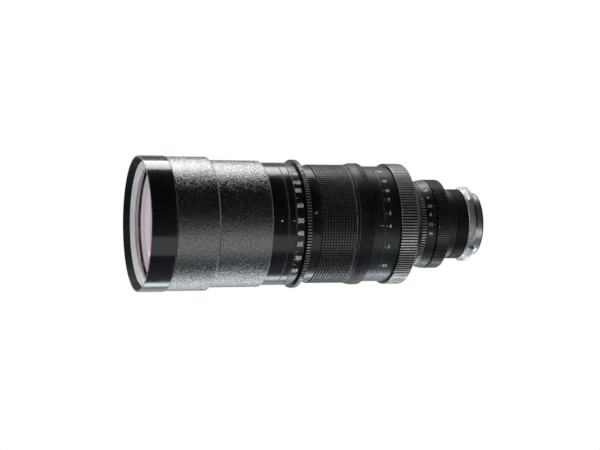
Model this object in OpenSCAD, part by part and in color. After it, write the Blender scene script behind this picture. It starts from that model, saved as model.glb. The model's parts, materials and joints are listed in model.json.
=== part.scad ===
// Cinema zoom lens. The lens axis is X, the flange seat is at X = 0, the front points to -X and +Z is up.

/* [Front and hood] */
// Outside diameter of the front ring
front_d = 114; // [113.6:0.1:116]
// Length of the front ring
bezel_l = 22.1; // [20:0.1:26]
// Wall of the front ring at its rim
rim_wall = 1.2; // [0.8:0.1:1.6]
// Diameter of the front recess where it meets the retaining ring
recess_d = 105; // [104.9:0.1:107]
// Depth of the front recess down to the retaining ring
recess_depth = 5.3; // [4.5:0.1:6.5]
// Diameter of the front shell of the hood
hood_front_d = 112.8; // [110:0.1:113.4]
// Length of the front shell of the hood
hood_front_l = 36.3; // [30:0.1:42]
// Diameter of the rear shell of the hood
hood_rear_d = 107.3; // [106.4:0.1:109]
// Length of the rear shell of the hood
hood_rear_l = 45.1; // [42:0.1:52]
// Thickness of the hood shells between their lands
hood_wall = 1.3; // [0.9:0.1:1.6]
// Length of the lands that carry each hood shell
hood_land_l = 4.5; // [3:0.1:8]

/* [Zoom ring] */
// Diameter of the front barrel and of the two number bands
barrel_d = 104.2; // [103.4:0.1:105.4]
// Visible length of the front barrel
barrel_l = 13.8; // [13:0.1:18]
// Length of the index ring
index_ring_l = 6.5; // [5:0.1:9]
// Length of the zoom number band
zoom_scale_l = 6.5; // [5.5:0.1:8]
// Length of the rounded shoulder in front of the gear
shoulder_l = 2.3; // [1.8:0.1:3]
// Tip diameter of the zoom gear
gear_d = 109.6; // [108.4:0.1:111]
// Number of teeth on the zoom gear
gear_teeth = 135; // [110:1:150]
// Height of the gear teeth
tooth_h = 1.7; // [1.2:0.1:1.9]
// Width of the zoom gear
gear_w = 3.7; // [3:0.1:6]
// Diameter of the gloss band and of the gear seat
band_d = 100; // [99.4:0.1:100.8]
// Length of the gloss band
band_l = 10.1; // [9:0.1:13]
// Diameter of the waffle grip
zoom_grip_d = 101.6; // [100.6:0.1:102.4]
// Length of the waffle grip
zoom_grip_l = 30.2; // [30:0.1:34]
// Rows of pads along the waffle grip
grip_rows = 12; // [8:1:14]
// Depth of the grooves in the waffle grip
grip_groove = 0.8; // [0.5:0.1:1]

/* [Focus ring] */
// Largest diameter of the fixed ridge ring
ridge_d = 104.6; // [103.6:0.1:106]
// Length of the ridge ring
ridge_l = 15.3; // [14.5:0.1:18]
// Diameter of the middle barrel and of the distance band
middle_d = 99.4; // [99:0.1:100.4]
// Visible length of the middle barrel
middle_l = 9.6; // [8.5:0.1:12]
// Length of the distance band
focus_scale_l = 14.3; // [13:0.1:16]
// Diameter of the coarse ribbed ring
focus_grip_d = 104.2; // [103.4:0.1:105.4]
// Length of the coarse ribbed ring
focus_grip_l = 15.7; // [14:0.1:18]
// Number of coarse ribs
focus_ribs = 133; // [110:1:150]
// Height of the coarse ribs
rib_h = 1.3; // [1:0.1:1.6]

/* [Rear] */
// Front diameter of the rear cone
cone_front_d = 86; // [85:0.1:88]
// Rear diameter of the rear cone
cone_rear_d = 74; // [72:0.1:76]
// Length of the rear cone
cone_l = 8.5; // [8:0.1:10]
// Diameter over the fine knurl of the iris ring
iris_knurl_d = 74.2; // [73.4:0.1:75.4]
// Length of the fine knurl of the iris ring
iris_knurl_l = 4.2; // [3.5:0.1:5]
// Teeth of the fine knurl of the iris ring
iris_teeth = 96; // [80:1:110]
// Front diameter of the stop scale
iris_scale_front_d = 73.6; // [72.6:0.1:74.4]
// Rear diameter of the stop scale
iris_scale_rear_d = 77; // [76:0.1:78]
// Length of the stop scale
iris_scale_l = 8.8; // [8.4:0.1:10]
// Width of the groove behind the iris ring
iris_gap = 0.8; // [0.4:0.1:1]
// Diameter of the small ribbed ring
rear_grip_d = 77.1; // [76:0.1:78]
// Length of the small ribbed ring
rear_grip_l = 11.6; // [10:0.1:14]
// Ribs on the small ribbed ring
rear_grip_ribs = 120; // [90:1:130]
// Diameter of the rear tube and its collar
rear_tube_d = 60.6; // [60.4:0.1:61.6]
// Visible length of the rear tube
rear_tube_l = 9.1; // [8:0.1:12]
// Length of the knurled collar
collar_l = 11.5; // [10:0.1:14]
// Ribs on the knurled collar
collar_ribs = 100; // [80:1:120]

/* [Lens mount] */
// Length of the bayonet in front of its lugs
bayonet_base_l = 3.4; // [3:0.1:4.5]
// Thickness of the bayonet lugs
lug_w = 3.7; // [3.2:0.1:4.4]
// Diameter over the bayonet lugs
lug_d = 65.2; // [64:0.1:66.4]
// Angle that each lug spans
lug_span = 96; // [80:1:100]
// Diameter of the rear barrel
rear_barrel_d = 54; // [53.6:0.1:54.2]
// Length of the rear barrel behind the flange seat
rear_barrel_l = 7.4; // [6:0.1:9]
// Bore of the rear barrel
rear_bore_d = 49; // [47:0.1:49.4]

/* [Optics] */
// Diameter of the front glass
front_glass_d = 94.4; // [94:0.1:94.6]
// Depth of the retaining ring
retainer_l = 3.7; // [3.3:0.1:4.2]
// Width of the lip that holds the front glass
glass_lip = 0.5; // [0.3:0.1:0.8]
// Diameter of the glass in the variator and the compensator
zoom_glass_d = 60; // [56:0.5:64]
// Diameter of the glass in the focus group
focus_glass_d = 58; // [54:0.5:62]
// Diameter of the rear glass
rear_glass_d = 45; // [43:0.5:45.5]
// Diameter of the iris when it is fully open
iris_open_d = 28.4; // [27.6:0.1:29.2]

/* [Zoom and focus drive] */
// Outside diameter of the sliding lens cells
cell_d = 76; // [75.6:0.1:76.2]
// Wall of the guide tube
guide_wall = 2.45; // [2.2:0.05:2.5]
// Wall of the cam barrel and of the focus sleeve
cam_wall = 2.95; // [2.8:0.05:3]
// Radius of the rollers that follow the cam slots
roller_r = 2.4; // [2:0.1:2.5]
// Zoom ring travel towards the long end, in degrees
zoom_tele = 51; // [40:1:54]
// Zoom ring travel towards the wide end, in degrees
zoom_wide = 72; // [60:1:72]
// Slide of the variator for each radian of the zoom ring
variator_lead = 16; // [12:0.1:16.2]
// Slide of the compensator for each radian of the zoom ring
compensator_lead = 5; // [4.6:0.1:5.2]
// Focus ring travel towards infinity, in degrees
focus_far = 78; // [70:1:80]
// Focus ring travel towards the near end, in degrees
focus_near = 50; // [40:1:52]
// Slide of the focus group for each radian of the focus ring
focus_lead = 3.5; // [3.3:0.1:3.8]
// Iris ring travel that opens the blades, in degrees
iris_open = 55; // [50:1:56]
// Iris ring travel that closes the blades, in degrees
iris_close = 20; // [15:1:21]
// Swing of each blade from open to closed, in degrees
blade_swing = 31; // [28:1:31]

/* [Hidden] */
$fn = 240;

// Clearance round parts that fit one in another
fit = 0.05;
// Gap between rings that turn past each other
seam = 0.3;
// Clearance of rollers and pins in their slots, on each side
slot_clearance = 0.1;
// Overrun of every cut past the face that it opens
cut = 1;
// Height of a small edge chamfer
edge = 0.4;
// Radius of the rounded rear edges of the hood shells
hood_round = 1.4;
// Points on a rounded outline
arc_steps = 10;
// Degrees in one radian
radian = 180 / PI;

// Stations along the axis, from the flange seat forwards
x_flange = 0;
x_lug = x_flange - lug_w;
x_bayonet = x_lug - bayonet_base_l;
x_collar = x_bayonet - collar_l;
x_rear_tube = x_collar - rear_tube_l;
x_rear_grip = x_rear_tube - rear_grip_l;
x_iris_end = x_rear_grip - iris_gap;
x_iris_scale = x_iris_end - iris_scale_l;
x_iris = x_iris_scale - iris_knurl_l;
x_cone = x_iris - cone_l;
x_focus_grip = x_cone - focus_grip_l;
x_focus = x_focus_grip - focus_scale_l;
x_middle = x_focus - middle_l;
x_ridge = x_middle - ridge_l;
x_zoom_end = x_ridge - seam;
x_zoom_grip = x_zoom_end - zoom_grip_l;
x_band = x_zoom_grip - band_l;
x_gear = x_band - gear_w;
x_shoulder = x_gear - shoulder_l;
x_zoom = x_shoulder - zoom_scale_l;
x_index = x_zoom - index_ring_l;
x_barrel = x_index - barrel_l;
x_hood_rear = x_barrel - hood_rear_l;
x_hood_front = x_hood_rear - hood_front_l;
x_front = x_hood_front - bezel_l;

// Radii of the nested tubes, from the sliding cells outwards
cell_r = cell_d / 2;
guide_in_r = cell_r + fit;
guide_r = guide_in_r + guide_wall;
cam_in_r = guide_r + fit;
cam_r = cam_in_r + cam_wall;
ring_in_r = cam_r + fit;
cam_mid_r = (cam_in_r + cam_r) / 2;
slot_half = roller_r + slot_clearance;

// Front group
glass_r = front_glass_d / 2;
cell_wall = 2.25;
front_cell_r = glass_r + fit + cell_wall;
front_tube_in_r = front_cell_r + fit;
front_tube_wall = 1.65;
front_tube_r = front_tube_in_r + front_tube_wall;
land_r = front_tube_r + fit;
recess_r = recess_d / 2;
x_retainer = x_front + recess_depth;
x_glass = x_retainer + retainer_l;
cell_flange_l = 3.7;
x_cell_flange = x_glass + cell_flange_l;
front_curve = 360;
cement_curve = 150;
crown_curve = 250;
singlet_front_curve = 180;
singlet_rear_curve = -600;
flint_edge = 12;
x_flint = x_glass + seat_gap(front_curve, glass_r, glass_r - glass_lip);
crown_edge = 4;
spacer_l = 13;
singlet_edge = 6;
cement = 0.05;
x_crown = x_flint + flint_edge + cement;
x_spacer = x_crown + crown_edge;
x_singlet = x_spacer + spacer_l;
x_cell_seat = x_singlet + singlet_edge;
cell_seat_l = 3;
cell_tail_l = 13;
x_cell_seat_end = x_cell_seat + cell_seat_l;
x_cell_end = x_cell_seat_end + cell_tail_l;
seat_step = 3.2;

// Guide tube, cam barrel and the cells that slide in them
guide_flange_l = 5;
x_guide_flange_end = x_barrel - 2 * edge - 2 * seam;
x_guide_flange = x_guide_flange_end - guide_flange_l;
guide_nose_l = 10;
x_guide = x_guide_flange - guide_nose_l;
guide_tail_l = 2;
x_guide_end = x_cone + guide_tail_l;
x_cam = x_guide_flange_end + seam;
cam_end_wall = 7.9;
zoom_tele_rad = zoom_tele / radian;
zoom_wide_rad = zoom_wide / radian;
x_variator = x_cam + cam_end_wall + slot_half + variator_lead * zoom_wide_rad;
cam_mid_wall = 4.1;
x_variator_slot_end = x_variator + variator_lead * zoom_tele_rad + slot_half;
x_compensator = x_variator_slot_end + cam_mid_wall + slot_half + compensator_lead * zoom_tele_rad;
focus_far_rad = focus_far / radian;
focus_near_rad = focus_near / radian;
focus_sleeve_wall = 16;
x_sleeve = x_middle + seam;
x_focus_group = x_sleeve + focus_sleeve_wall + focus_lead * focus_far_rad;
x_focus_end = x_cone - seam;
follower_count = 3;
variator_angle = 90;
compensator_angle = 30;
focus_angle = 30;
slot_step_count = 22;
roller_shank_r = 1.5;
roller_seat_depth = 3;
// The cells reach this far in front of and behind their rollers
variator_nose = 22;
variator_tail = 4;
compensator_nose = 4;
compensator_tail = 12;
focus_nose = 14;
focus_tail = 12;
cell_lip = 0.5;
seat_land = 3;
zoom_glass_r = zoom_glass_d / 2;
focus_glass_r = focus_glass_d / 2;
variator_front_edge = 9;
variator_rear_edge = 6;
variator_front_curve = -250;
variator_inner_curve = -120;
variator_rear_curve = -130;
compensator_edge = 7;
compensator_curve = -140;
focus_front_edge = 5;
focus_rear_edge = 4;
focus_front_curve = 160;
focus_inner_curve = 200;
focus_rear_curve = 180;

// Screws and stop pins
guide_screw_count = 6;
guide_screw_r = 1.25;
guide_screw_head_r = 1.9;
guide_screw_head_l = 1.8;
guide_screw_l = 11;
guide_screw_shift = 1.9;
guide_screw_circle_r = (guide_r + front_cell_r) / 2 + guide_screw_shift;
key_screw_r = 1.6;
key_screw_head_r = 2.4;
key_screw_head_l = 1.4;
screw_slot_w = 0.6;
screw_slot_depth = 0.7;
screw_sink = 0.15;
zoom_screw_angle = -131;
x_zoom_screw = (x_band + x_zoom_grip) / 2;
x_focus_screw = (x_focus_grip + x_focus_end) / 2;
focus_screw_r = 1.5;
focus_screw_head_r = 2.2;
focus_screw_head_l = 1.2;
stop_pin_r = 1.2;
stop_pin_seat = 3;
stop_reach = 2.2;
stop_gap = 0.15;
stop_slack = 1.5;
stop_angle = 60;

// Zoom ring, ridge ring and focus ring
shoulder_h = 1.6;
grip_seat_depth = 2;
zoom_grip_seat_r = band_d / 2 - grip_seat_depth;
zoom_relief_depth = 2.4;
zoom_relief_wall = 3;
gear_root_share = 0.72;
gear_tip_share = 0.34;
rib_root_share = 0.66;
rib_tip_share = 0.56;
groove_share = 0.36;
zoom_stop_r = (ring_in_r + zoom_grip_seat_r) / 2;
barrel_bore_gap = 0.45;
fixed_bore_r = cam_r + barrel_bore_gap;
index_seat_depth = 5.1;
index_seat_r = barrel_d / 2 - index_seat_depth;
ridge_front_drop = 1.4;
ridge_step_l = 3.4;
ridge_cone_l = 5.5;
ridge_notch = 0.25;
pocket_r = 48.15;
pocket_depth = 8;
spigot_l = 7.2;
focus_seat_depth = 2.7;
focus_grip_seat_r = middle_d / 2 - focus_seat_depth;
focus_stop_r = (fixed_bore_r + middle_d / 2) / 2;

// Rear body and iris
spigot_r = 33;
spigot_in_r = 29;
web_bore_r = 26;
iris_seat_depth = 2.5;
x_iris_seat = x_iris + iris_seat_depth;
x_spigot_end = x_rear_tube - seam;
iris_bore_r = spigot_in_r - fit;
base_plate_l = 1.2;
blade_gap = 0.3;
blade_l = 0.2;
blade_pitch = 0.35;
blade_count = 6;
x_blades = x_iris_seat + base_plate_l + blade_gap;
x_drive = x_blades + blade_pitch * blade_count + blade_gap;
drive_plate_l = 1.2;
drive_rim_l = 4.5;
drive_rim_w = 1.3;
x_drive_end = x_drive + drive_rim_l;
iris_retainer_l = 1.2;
open_r = iris_open_d / 2;
blade_w = 7.3;
blade_outer_r = open_r + blade_w;
pivot_clear = 3.5;
pivot_r = blade_outer_r + pivot_clear;
drive_arm = 5;
stud_r = 0.7;
blade_pin_r = 0.45;
ear_r = 1.9;
neck_half = 1.6;
blade_start = -4;
blade_span = 119;
blade_steps = 24;
iris_travel = iris_open + iris_close;
blade_ratio = blade_swing / iris_travel;
blade_rest = iris_open * blade_ratio;
iris_pin_r = 1.2;
x_iris_pin = x_drive + drive_plate_l + (drive_rim_l - drive_plate_l) / 2;
iris_pin_in_r = iris_bore_r - drive_rim_w;
iris_pin_out_r = 35.5;
iris_pin_angle = 15;
cam_slack = 2.5;
knurl_h = 0.7;
fine_rib_h = 0.6;
collar_rib_h = 0.45;

// Rear tube, mount and rear group
rear_tube_r = rear_tube_d / 2;
rear_in_r = 25;
tube_spigot_l = 8.6;
collar_seat_depth = 1.1;
collar_seat_r = rear_tube_r - collar_seat_depth;
mount_bore_r = 26.05;
// Relief in the flange seat round the rear barrel
mount_relief = 0.3;
mount_relief_r = rear_barrel_d / 2 + fit;
lug_angles = [90, 270];
lug_bevel = 1.5;
neck_depth = 2.6;
neck_l = 2.3;
barrel_chamfer = 1;
notch_r = 1.1;
notch_l = 2.1;
notch_angle = 105.6;
mount_screw_circle_r = 28.35;
mount_screw_r = 0.6;
mount_screw_head_r = 1.05;
mount_screw_head_l = 1;
mount_screw_l = 12;
mount_screw_spread = 30;
rear_glass_r = rear_glass_d / 2;
rear_cell_r = rear_in_r - fit;
rear_cell_inset = 2;
rear_cell_recess = 1.5;
x_rear_cell = x_spigot_end - tube_spigot_l + rear_cell_inset;
x_rear_cell_end = x_bayonet - rear_cell_recess;
rear_seat_l = 3;
rear_seat_step = 2.5;
rear_crown_edge = 6;
rear_singlet_edge = 5;
rear_spacer_l = 7;
rear_ring_l = 2.4;
rear_ring_w = 2;
x_rear_crown = x_rear_cell + rear_seat_l;
x_rear_spacer = x_rear_crown + rear_crown_edge;
x_rear_singlet = x_rear_spacer + rear_spacer_l;
x_rear_ring = x_rear_singlet + rear_singlet_edge;
rear_crown_curve = 70;
rear_inner_curve = 90;
rear_singlet_curve = 80;
rear_last_curve = -200;

function polar(r, a) = [r * cos(a), r * sin(a)];

// How far a surface of the given curve bulges between the axis and radius r, negative where it is hollow
function sag(curve, r) = sign(curve) * (abs(curve) - sqrt(curve * curve - r * r));

// How far a seat of radius seat_r stands back from the rim of a lens of radius r, so that it clears the curve
function seat_gap(curve, r, seat_r) = max(0, sag(curve, r) - sag(curve, seat_r)) + fit;

// Points of a lens, from the axis to the rim along its front and back along its rear
function lens_outline(r, x_from, x_to, front, rear) = concat(
    [for (i = [0 : arc_steps]) let (p = r * i / arc_steps) [p, x_from - sag(front, r) + sag(front, p)]],
    [for (i = [arc_steps : -1 : 0]) let (p = r * i / arc_steps) [p, x_to + sag(rear, r) - sag(rear, p)]]
);

// Outline of a ring of ribs: four points for each rib, with root and tip as shares of the pitch
function ribs(count, r_root, r_tip, root_share, tip_share) = [
    for (i = [0 : count - 1])
        for (p = [[r_root, -root_share], [r_tip, -tip_share], [r_tip, tip_share], [r_root, root_share]])
            polar(p[0], (i + p[1] / 2) * 360 / count)
];

// Quarter round from the outside of a cylinder onto its rear face, as high and as long as asked
function rear_round(r, x, height, length) = [
    for (i = [0 : arc_steps])
        let (a = 90 * i / arc_steps) [r - height * (1 - cos(a)), x - length * (1 - sin(a))]
];

// Turns local Z onto the lens axis, so that angles run from +Y towards +Z
module on_axis() {
    rotate([90, 0, 90]) children();
}

// A turned piece from its outline of [radius, station] points
module turned(outline) {
    on_axis() rotate_extrude() polygon(outline);
}

// A plain tube between two stations
module tube(r_out, r_in, x_from, x_to) {
    turned([[r_in, x_from], [r_out, x_from], [r_out, x_to], [r_in, x_to]]);
}

// A prism along the axis from its outline seen from the front
module prism(outline, x_from, x_to) {
    on_axis() translate([0, 0, x_from]) linear_extrude(x_to - x_from) polygon(outline);
}

// A pin along the axis
module axial_pin(r, circle_r, angle, x_from, x_to) {
    on_axis() rotate([0, 0, angle]) translate([circle_r, 0, x_from]) cylinder(r = r, h = x_to - x_from);
}

// A pin that points away from the axis
module radial_pin(r, x, angle, r_from, r_to) {
    on_axis() rotate([0, 0, angle]) translate([r_from, 0, x]) rotate([0, 90, 0])
        cylinder(r = r, h = r_to - r_from);
}

module lens(r, x_from, x_to, front, rear) {
    turned(lens_outline(r, x_from, x_to, front, rear));
}

// A ribbed ring with a plain bore
module ribbed_ring(count, r_tip, height, bore_r, root_share, tip_share, x_from, x_to) {
    difference() {
        prism(ribs(count, r_tip - height, r_tip, root_share, tip_share), x_from, x_to);
        tube(bore_r, 0, x_from - cut, x_to + cut);
    }
}

// An arc groove for a stop pin: it lets the ring turn from -back to +ahead
module stop_groove(circle_r, angle, back, ahead, x_from, x_to) {
    half = stop_pin_r + stop_gap;
    ends = asin(half / circle_r) + stop_slack;
    on_axis() rotate([0, 0, angle - ahead - ends]) rotate_extrude(angle = back + ahead + 2 * ends)
        translate([circle_r - half, x_from]) square([2 * half, x_to - x_from]);
}

// The three straight slots that hold a group's rollers square
module straight_slots(x_from, x_to, angle) {
    for (i = [0 : follower_count - 1])
        on_axis() rotate([0, 0, angle + i * 360 / follower_count])
            translate([guide_in_r - cut, -slot_half, x_from - slot_half])
                cube([guide_wall + 2 * cut, 2 * slot_half, x_to - x_from + 2 * slot_half]);
}

// Four corners of a helical slot where the ring has turned by a radians
function slot_corners(a, x_rest, lead, side) = let (
    slope = atan(lead / cam_mid_r),
    along = side * slot_half * sin(slope) / cam_mid_r * radian,
    x = x_rest + lead * a + side * slot_half * cos(slope)
) [for (r = [cam_in_r - cut, cam_r + cut]) concat(polar(r, along - a * radian), x)];

// One helical slot, as a swept bar that cuts right through the wall
module helical_slot(x_rest, lead, back, ahead) {
    over = (slot_half + slot_clearance) / norm([cam_mid_r, lead]);
    points = [
        for (i = [0 : slot_step_count])
            let (a = -back - over + (back + ahead + 2 * over) * i / slot_step_count)
                for (p = concat(slot_corners(a, x_rest, lead, 1), slot_corners(a, x_rest, lead, -1))) p
    ];
    order = [0, 1, 3, 2];
    last = 4 * slot_step_count;
    sides = [
        for (i = [0 : slot_step_count - 1]) for (k = [0 : 3])
            let (p = 4 * i + order[k], q = 4 * i + order[(k + 1) % 4])
                for (f = [[p, q, q + 4], [p, q + 4, p + 4]]) f
    ];
    ends = [[order[0], order[3], order[2], order[1]], [for (k = [0 : 3]) last + order[k]]];
    on_axis() polyhedron(points, concat(sides, ends));
}

module helical_slots(x_rest, lead, back, ahead, angle) {
    for (i = [0 : follower_count - 1])
        rotate([angle + i * 360 / follower_count, 0, 0]) helical_slot(x_rest, lead, back, ahead);
}

// Three rollers, each on a shank that seats in the cell
module rollers(x, angle, roller_end_r) {
    for (i = [0 : follower_count - 1]) {
        at = angle + i * 360 / follower_count;
        radial_pin(roller_shank_r, x, at, cell_r - roller_seat_depth, guide_in_r);
        radial_pin(roller_r, x, at, guide_in_r, roller_end_r);
    }
}

module roller_seats(x, angle) {
    for (i = [0 : follower_count - 1])
        radial_pin(roller_shank_r + fit, x, angle + i * 360 / follower_count,
            cell_r - roller_seat_depth - fit, cell_r + cut);
}

// A sliding cell with a lens seat at each end, set back from the inner curves of its two lenses
module sliding_cell(x, nose, tail, angle, front_r, front_edge, front_inner, rear_r, rear_edge, rear_inner) {
    x_from = x - nose;
    x_to = x + tail;
    x_step = x_from + cell_lip + front_edge + seat_gap(front_inner, front_r, front_r - seat_land);
    x_seat = x_to - cell_lip - rear_edge - seat_gap(rear_inner, rear_r, rear_r - seat_land);
    difference() {
        turned([
            [front_r + fit, x_from], [cell_r, x_from], [cell_r, x_to], [rear_r + fit, x_to],
            [rear_r + fit, x_seat], [rear_r - seat_land, x_seat], [front_r - seat_land, x_step],
            [front_r + fit, x_step]
        ]);
        roller_seats(x, angle);
    }
}

// Front pieces
module front_bezel() {
    r = front_d / 2;
    color("#17181a") turned([
        [r - rim_wall, x_front], [r - edge, x_front], [r, x_front + edge], [r, x_hood_front - seam - edge],
        [r - edge, x_hood_front - seam], [land_r, x_hood_front - seam], [land_r, x_cell_flange],
        [recess_r, x_cell_flange], [recess_r, x_retainer]
    ]);
}

module front_retaining_ring() {
    color("#c9cace") turned([
        [recess_r - fit, x_retainer], [recess_r - fit, x_glass], [glass_r - glass_lip, x_glass],
        [glass_r - glass_lip, x_glass - 2 * edge]
    ]);
}

module front_flint_lens() {
    color("#7d6a80") lens(glass_r, x_flint, x_flint + flint_edge, front_curve, -cement_curve);
}

module front_crown_lens() {
    color("#8c93a0") lens(glass_r, x_crown, x_spacer, cement_curve, crown_curve);
}

module front_spacer_ring() {
    r_in = glass_r - seat_step;
    color("#1b1b1d") tube(glass_r, r_in, x_spacer + seat_gap(crown_curve, glass_r, r_in),
        x_singlet - seat_gap(singlet_front_curve, glass_r, r_in));
}

module front_singlet_lens() {
    color("#8c93a0") lens(glass_r, x_singlet, x_cell_seat, singlet_front_curve, singlet_rear_curve);
}

module front_lens_cell() {
    color("#1b1b1d") turned([
        [glass_r + fit, x_glass], [recess_r - fit, x_glass], [recess_r - fit, x_cell_flange],
        [front_cell_r, x_cell_flange], [front_cell_r, x_cell_end], [glass_r - seat_step / 2, x_cell_end],
        [glass_r - seat_step / 2, x_cell_seat_end], [glass_r - seat_step, x_cell_seat_end],
        [glass_r - seat_step, x_cell_seat], [glass_r + fit, x_cell_seat]
    ]);
}

// A hood shell on two lands, with a rounded rear edge
module hood_shell(r, x_from, x_to, rounding) {
    turned(concat(
        [[land_r, x_from], [r - edge, x_from], [r, x_from + edge]],
        rear_round(r, x_to, rounding, rounding),
        [
            [land_r, x_to], [land_r, x_to - hood_land_l], [r - hood_wall, x_to - hood_land_l],
            [r - hood_wall, x_from + hood_land_l], [land_r, x_from + hood_land_l]
        ]
    ));
}

module hood_front_shell() {
    color("#5c5e61") hood_shell(hood_front_d / 2, x_hood_front, x_hood_rear, hood_round);
}

module hood_rear_shell() {
    color("#5c5e61") hood_shell(hood_rear_d / 2, x_hood_rear, x_barrel, hood_round / 2);
}

module front_barrel() {
    r = barrel_d / 2;
    color("#141517") difference() {
        turned([
            [front_tube_in_r, x_cell_flange], [front_tube_r, x_cell_flange], [front_tube_r, x_barrel],
            [r - edge, x_barrel], [r, x_barrel + edge], [r, x_index - seam], [index_seat_r, x_index - seam],
            [index_seat_r, x_zoom - 2 * seam], [fixed_bore_r, x_zoom - 2 * seam],
            [fixed_bore_r, x_guide_flange_end], [front_tube_in_r, x_guide_flange_end]
        ]);
        guide_screw_holes(x_guide_flange_end - cut);
    }
}

module index_ring() {
    color("#141517") tube(barrel_d / 2, index_seat_r + fit, x_index, x_zoom - seam);
}

// Guide tube and its screws
module guide_screw_holes(x_from) {
    for (i = [0 : guide_screw_count - 1])
        axial_pin(guide_screw_r + fit, guide_screw_circle_r, i * 360 / guide_screw_count,
            x_from, x_guide_flange + guide_screw_l + fit);
}

module guide_tube() {
    color("#9a9c9f") difference() {
        union() {
            tube(guide_r, guide_in_r, x_guide, x_guide_end);
            tube(front_cell_r, guide_r - fit, x_guide_flange, x_guide_flange_end);
        }
        guide_screw_holes(x_guide_flange - cut);
        straight_slots(x_variator - variator_lead * zoom_wide_rad, x_variator + variator_lead * zoom_tele_rad,
            variator_angle);
        straight_slots(x_compensator - compensator_lead * zoom_tele_rad,
            x_compensator + compensator_lead * zoom_wide_rad, compensator_angle);
        straight_slots(x_focus_group - focus_lead * focus_far_rad,
            x_focus_group + focus_lead * focus_near_rad, focus_angle);
    }
}

module guide_tube_screws() {
    color("#8d8f92") for (i = [0 : guide_screw_count - 1]) {
        axial_pin(guide_screw_head_r, guide_screw_circle_r, i * 360 / guide_screw_count,
            x_guide_flange - guide_screw_head_l, x_guide_flange);
        axial_pin(guide_screw_r, guide_screw_circle_r, i * 360 / guide_screw_count,
            x_guide_flange, x_guide_flange + guide_screw_l);
    }
}

// Zoom ring and what turns with it
module zoom_ring() {
    r = barrel_d / 2;
    x_relief = x_zoom_grip + zoom_relief_wall;
    x_relief_end = x_zoom_end - zoom_relief_wall - stop_reach;
    color("#141517") difference() {
        turned(concat(
            [[ring_in_r, x_zoom], [r - edge, x_zoom], [r, x_zoom + edge]],
            rear_round(r, x_gear, shoulder_h, shoulder_l),
            [
                [band_d / 2, x_gear], [band_d / 2, x_zoom_grip - edge], [band_d / 2 - edge, x_zoom_grip],
                [zoom_grip_seat_r, x_zoom_grip], [zoom_grip_seat_r, x_zoom_end], [ring_in_r, x_zoom_end],
                [ring_in_r, x_relief_end], [ring_in_r + zoom_relief_depth, x_relief_end],
                [ring_in_r + zoom_relief_depth, x_relief], [ring_in_r, x_relief]
            ]
        ));
        key_screws(zoom_screw_angle, x_zoom_screw, band_d / 2, key_screw_r + fit,
            key_screw_head_r + fit, key_screw_head_l + screw_sink, cut);
        stop_groove(zoom_stop_r, stop_angle, zoom_wide, zoom_tele, x_zoom_end - stop_reach, x_zoom_end + cut);
    }
}

module zoom_gear_ring() {
    color("#1b1c1e") ribbed_ring(gear_teeth, gear_d / 2, tooth_h, band_d / 2 + fit,
        gear_root_share, gear_tip_share, x_gear, x_band);
}

module zoom_grip() {
    r = zoom_grip_d / 2;
    pitch = (zoom_grip_l - seam) / grip_rows;
    x_from = x_zoom_grip + seam;
    groove = pitch * groove_share;
    color("#1f1f22") turned(concat(
        [[zoom_grip_seat_r + fit, x_from], [r - grip_groove, x_from]],
        [
            for (i = [0 : grip_rows - 1])
                for (p = [[grip_groove, groove / 4], [0, groove / 2], [0, pitch - groove / 2],
                    [grip_groove, pitch - groove / 4]])
                        [r - p[0], x_from + i * pitch + p[1]]
        ],
        [[r - grip_groove, x_zoom_end], [zoom_grip_seat_r + fit, x_zoom_end]]
    ));
}

module cam_barrel() {
    color("#8f9194") difference() {
        tube(cam_r, cam_in_r, x_cam, x_zoom_end);
        helical_slots(x_variator, variator_lead, zoom_wide_rad, zoom_tele_rad, variator_angle);
        helical_slots(x_compensator, -compensator_lead, zoom_wide_rad, zoom_tele_rad, compensator_angle);
        for (i = [0 : follower_count - 1])
            radial_pin(key_screw_r + fit, x_zoom_screw,
                zoom_screw_angle + i * 360 / follower_count, cam_in_r - cut, cam_r + cut);
    }
}

// Slotted screws that key a ring to the sleeve inside it
module key_screws(angle, x, r_top, shank_r, head_r, head_l, over) {
    for (i = [0 : follower_count - 1]) {
        radial_pin(shank_r, x, angle + i * 360 / follower_count, cam_in_r + fit, r_top - head_l);
        radial_pin(head_r, x, angle + i * 360 / follower_count, r_top - head_l, r_top + over);
    }
}

module screw_slots(angle, x, r_top, head_r) {
    for (i = [0 : follower_count - 1])
        on_axis() rotate([0, 0, angle + i * 360 / follower_count])
            translate([r_top - screw_slot_depth, -head_r - cut, x - screw_slot_w / 2])
                cube([screw_slot_depth + cut, 2 * head_r + 2 * cut, screw_slot_w]);
}

module zoom_key_screws() {
    x = x_zoom_screw;
    r_top = band_d / 2 - screw_sink;
    color("#6d6f72") difference() {
        key_screws(zoom_screw_angle, x, r_top, key_screw_r, key_screw_head_r, key_screw_head_l, 0);
        screw_slots(zoom_screw_angle, x, r_top, key_screw_head_r);
    }
}

// Variator and compensator
module variator_cell() {
    color("#222326") sliding_cell(x_variator, variator_nose, variator_tail, variator_angle,
        zoom_glass_r, variator_front_edge, variator_inner_curve,
        focus_glass_r, variator_rear_edge, variator_rear_curve);
}

module variator_front_lens() {
    x_from = x_variator - variator_nose + cell_lip;
    color("#8c93a0") lens(zoom_glass_r, x_from, x_from + variator_front_edge,
        variator_front_curve, variator_inner_curve);
}

module variator_rear_lens() {
    x_to = x_variator + variator_tail - cell_lip;
    color("#8c93a0") lens(focus_glass_r, x_to - variator_rear_edge, x_to,
        variator_rear_curve, -variator_front_curve);
}

module variator_rollers() {
    color("#b08d4f") rollers(x_variator, variator_angle, cam_r - slot_clearance);
}

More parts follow.
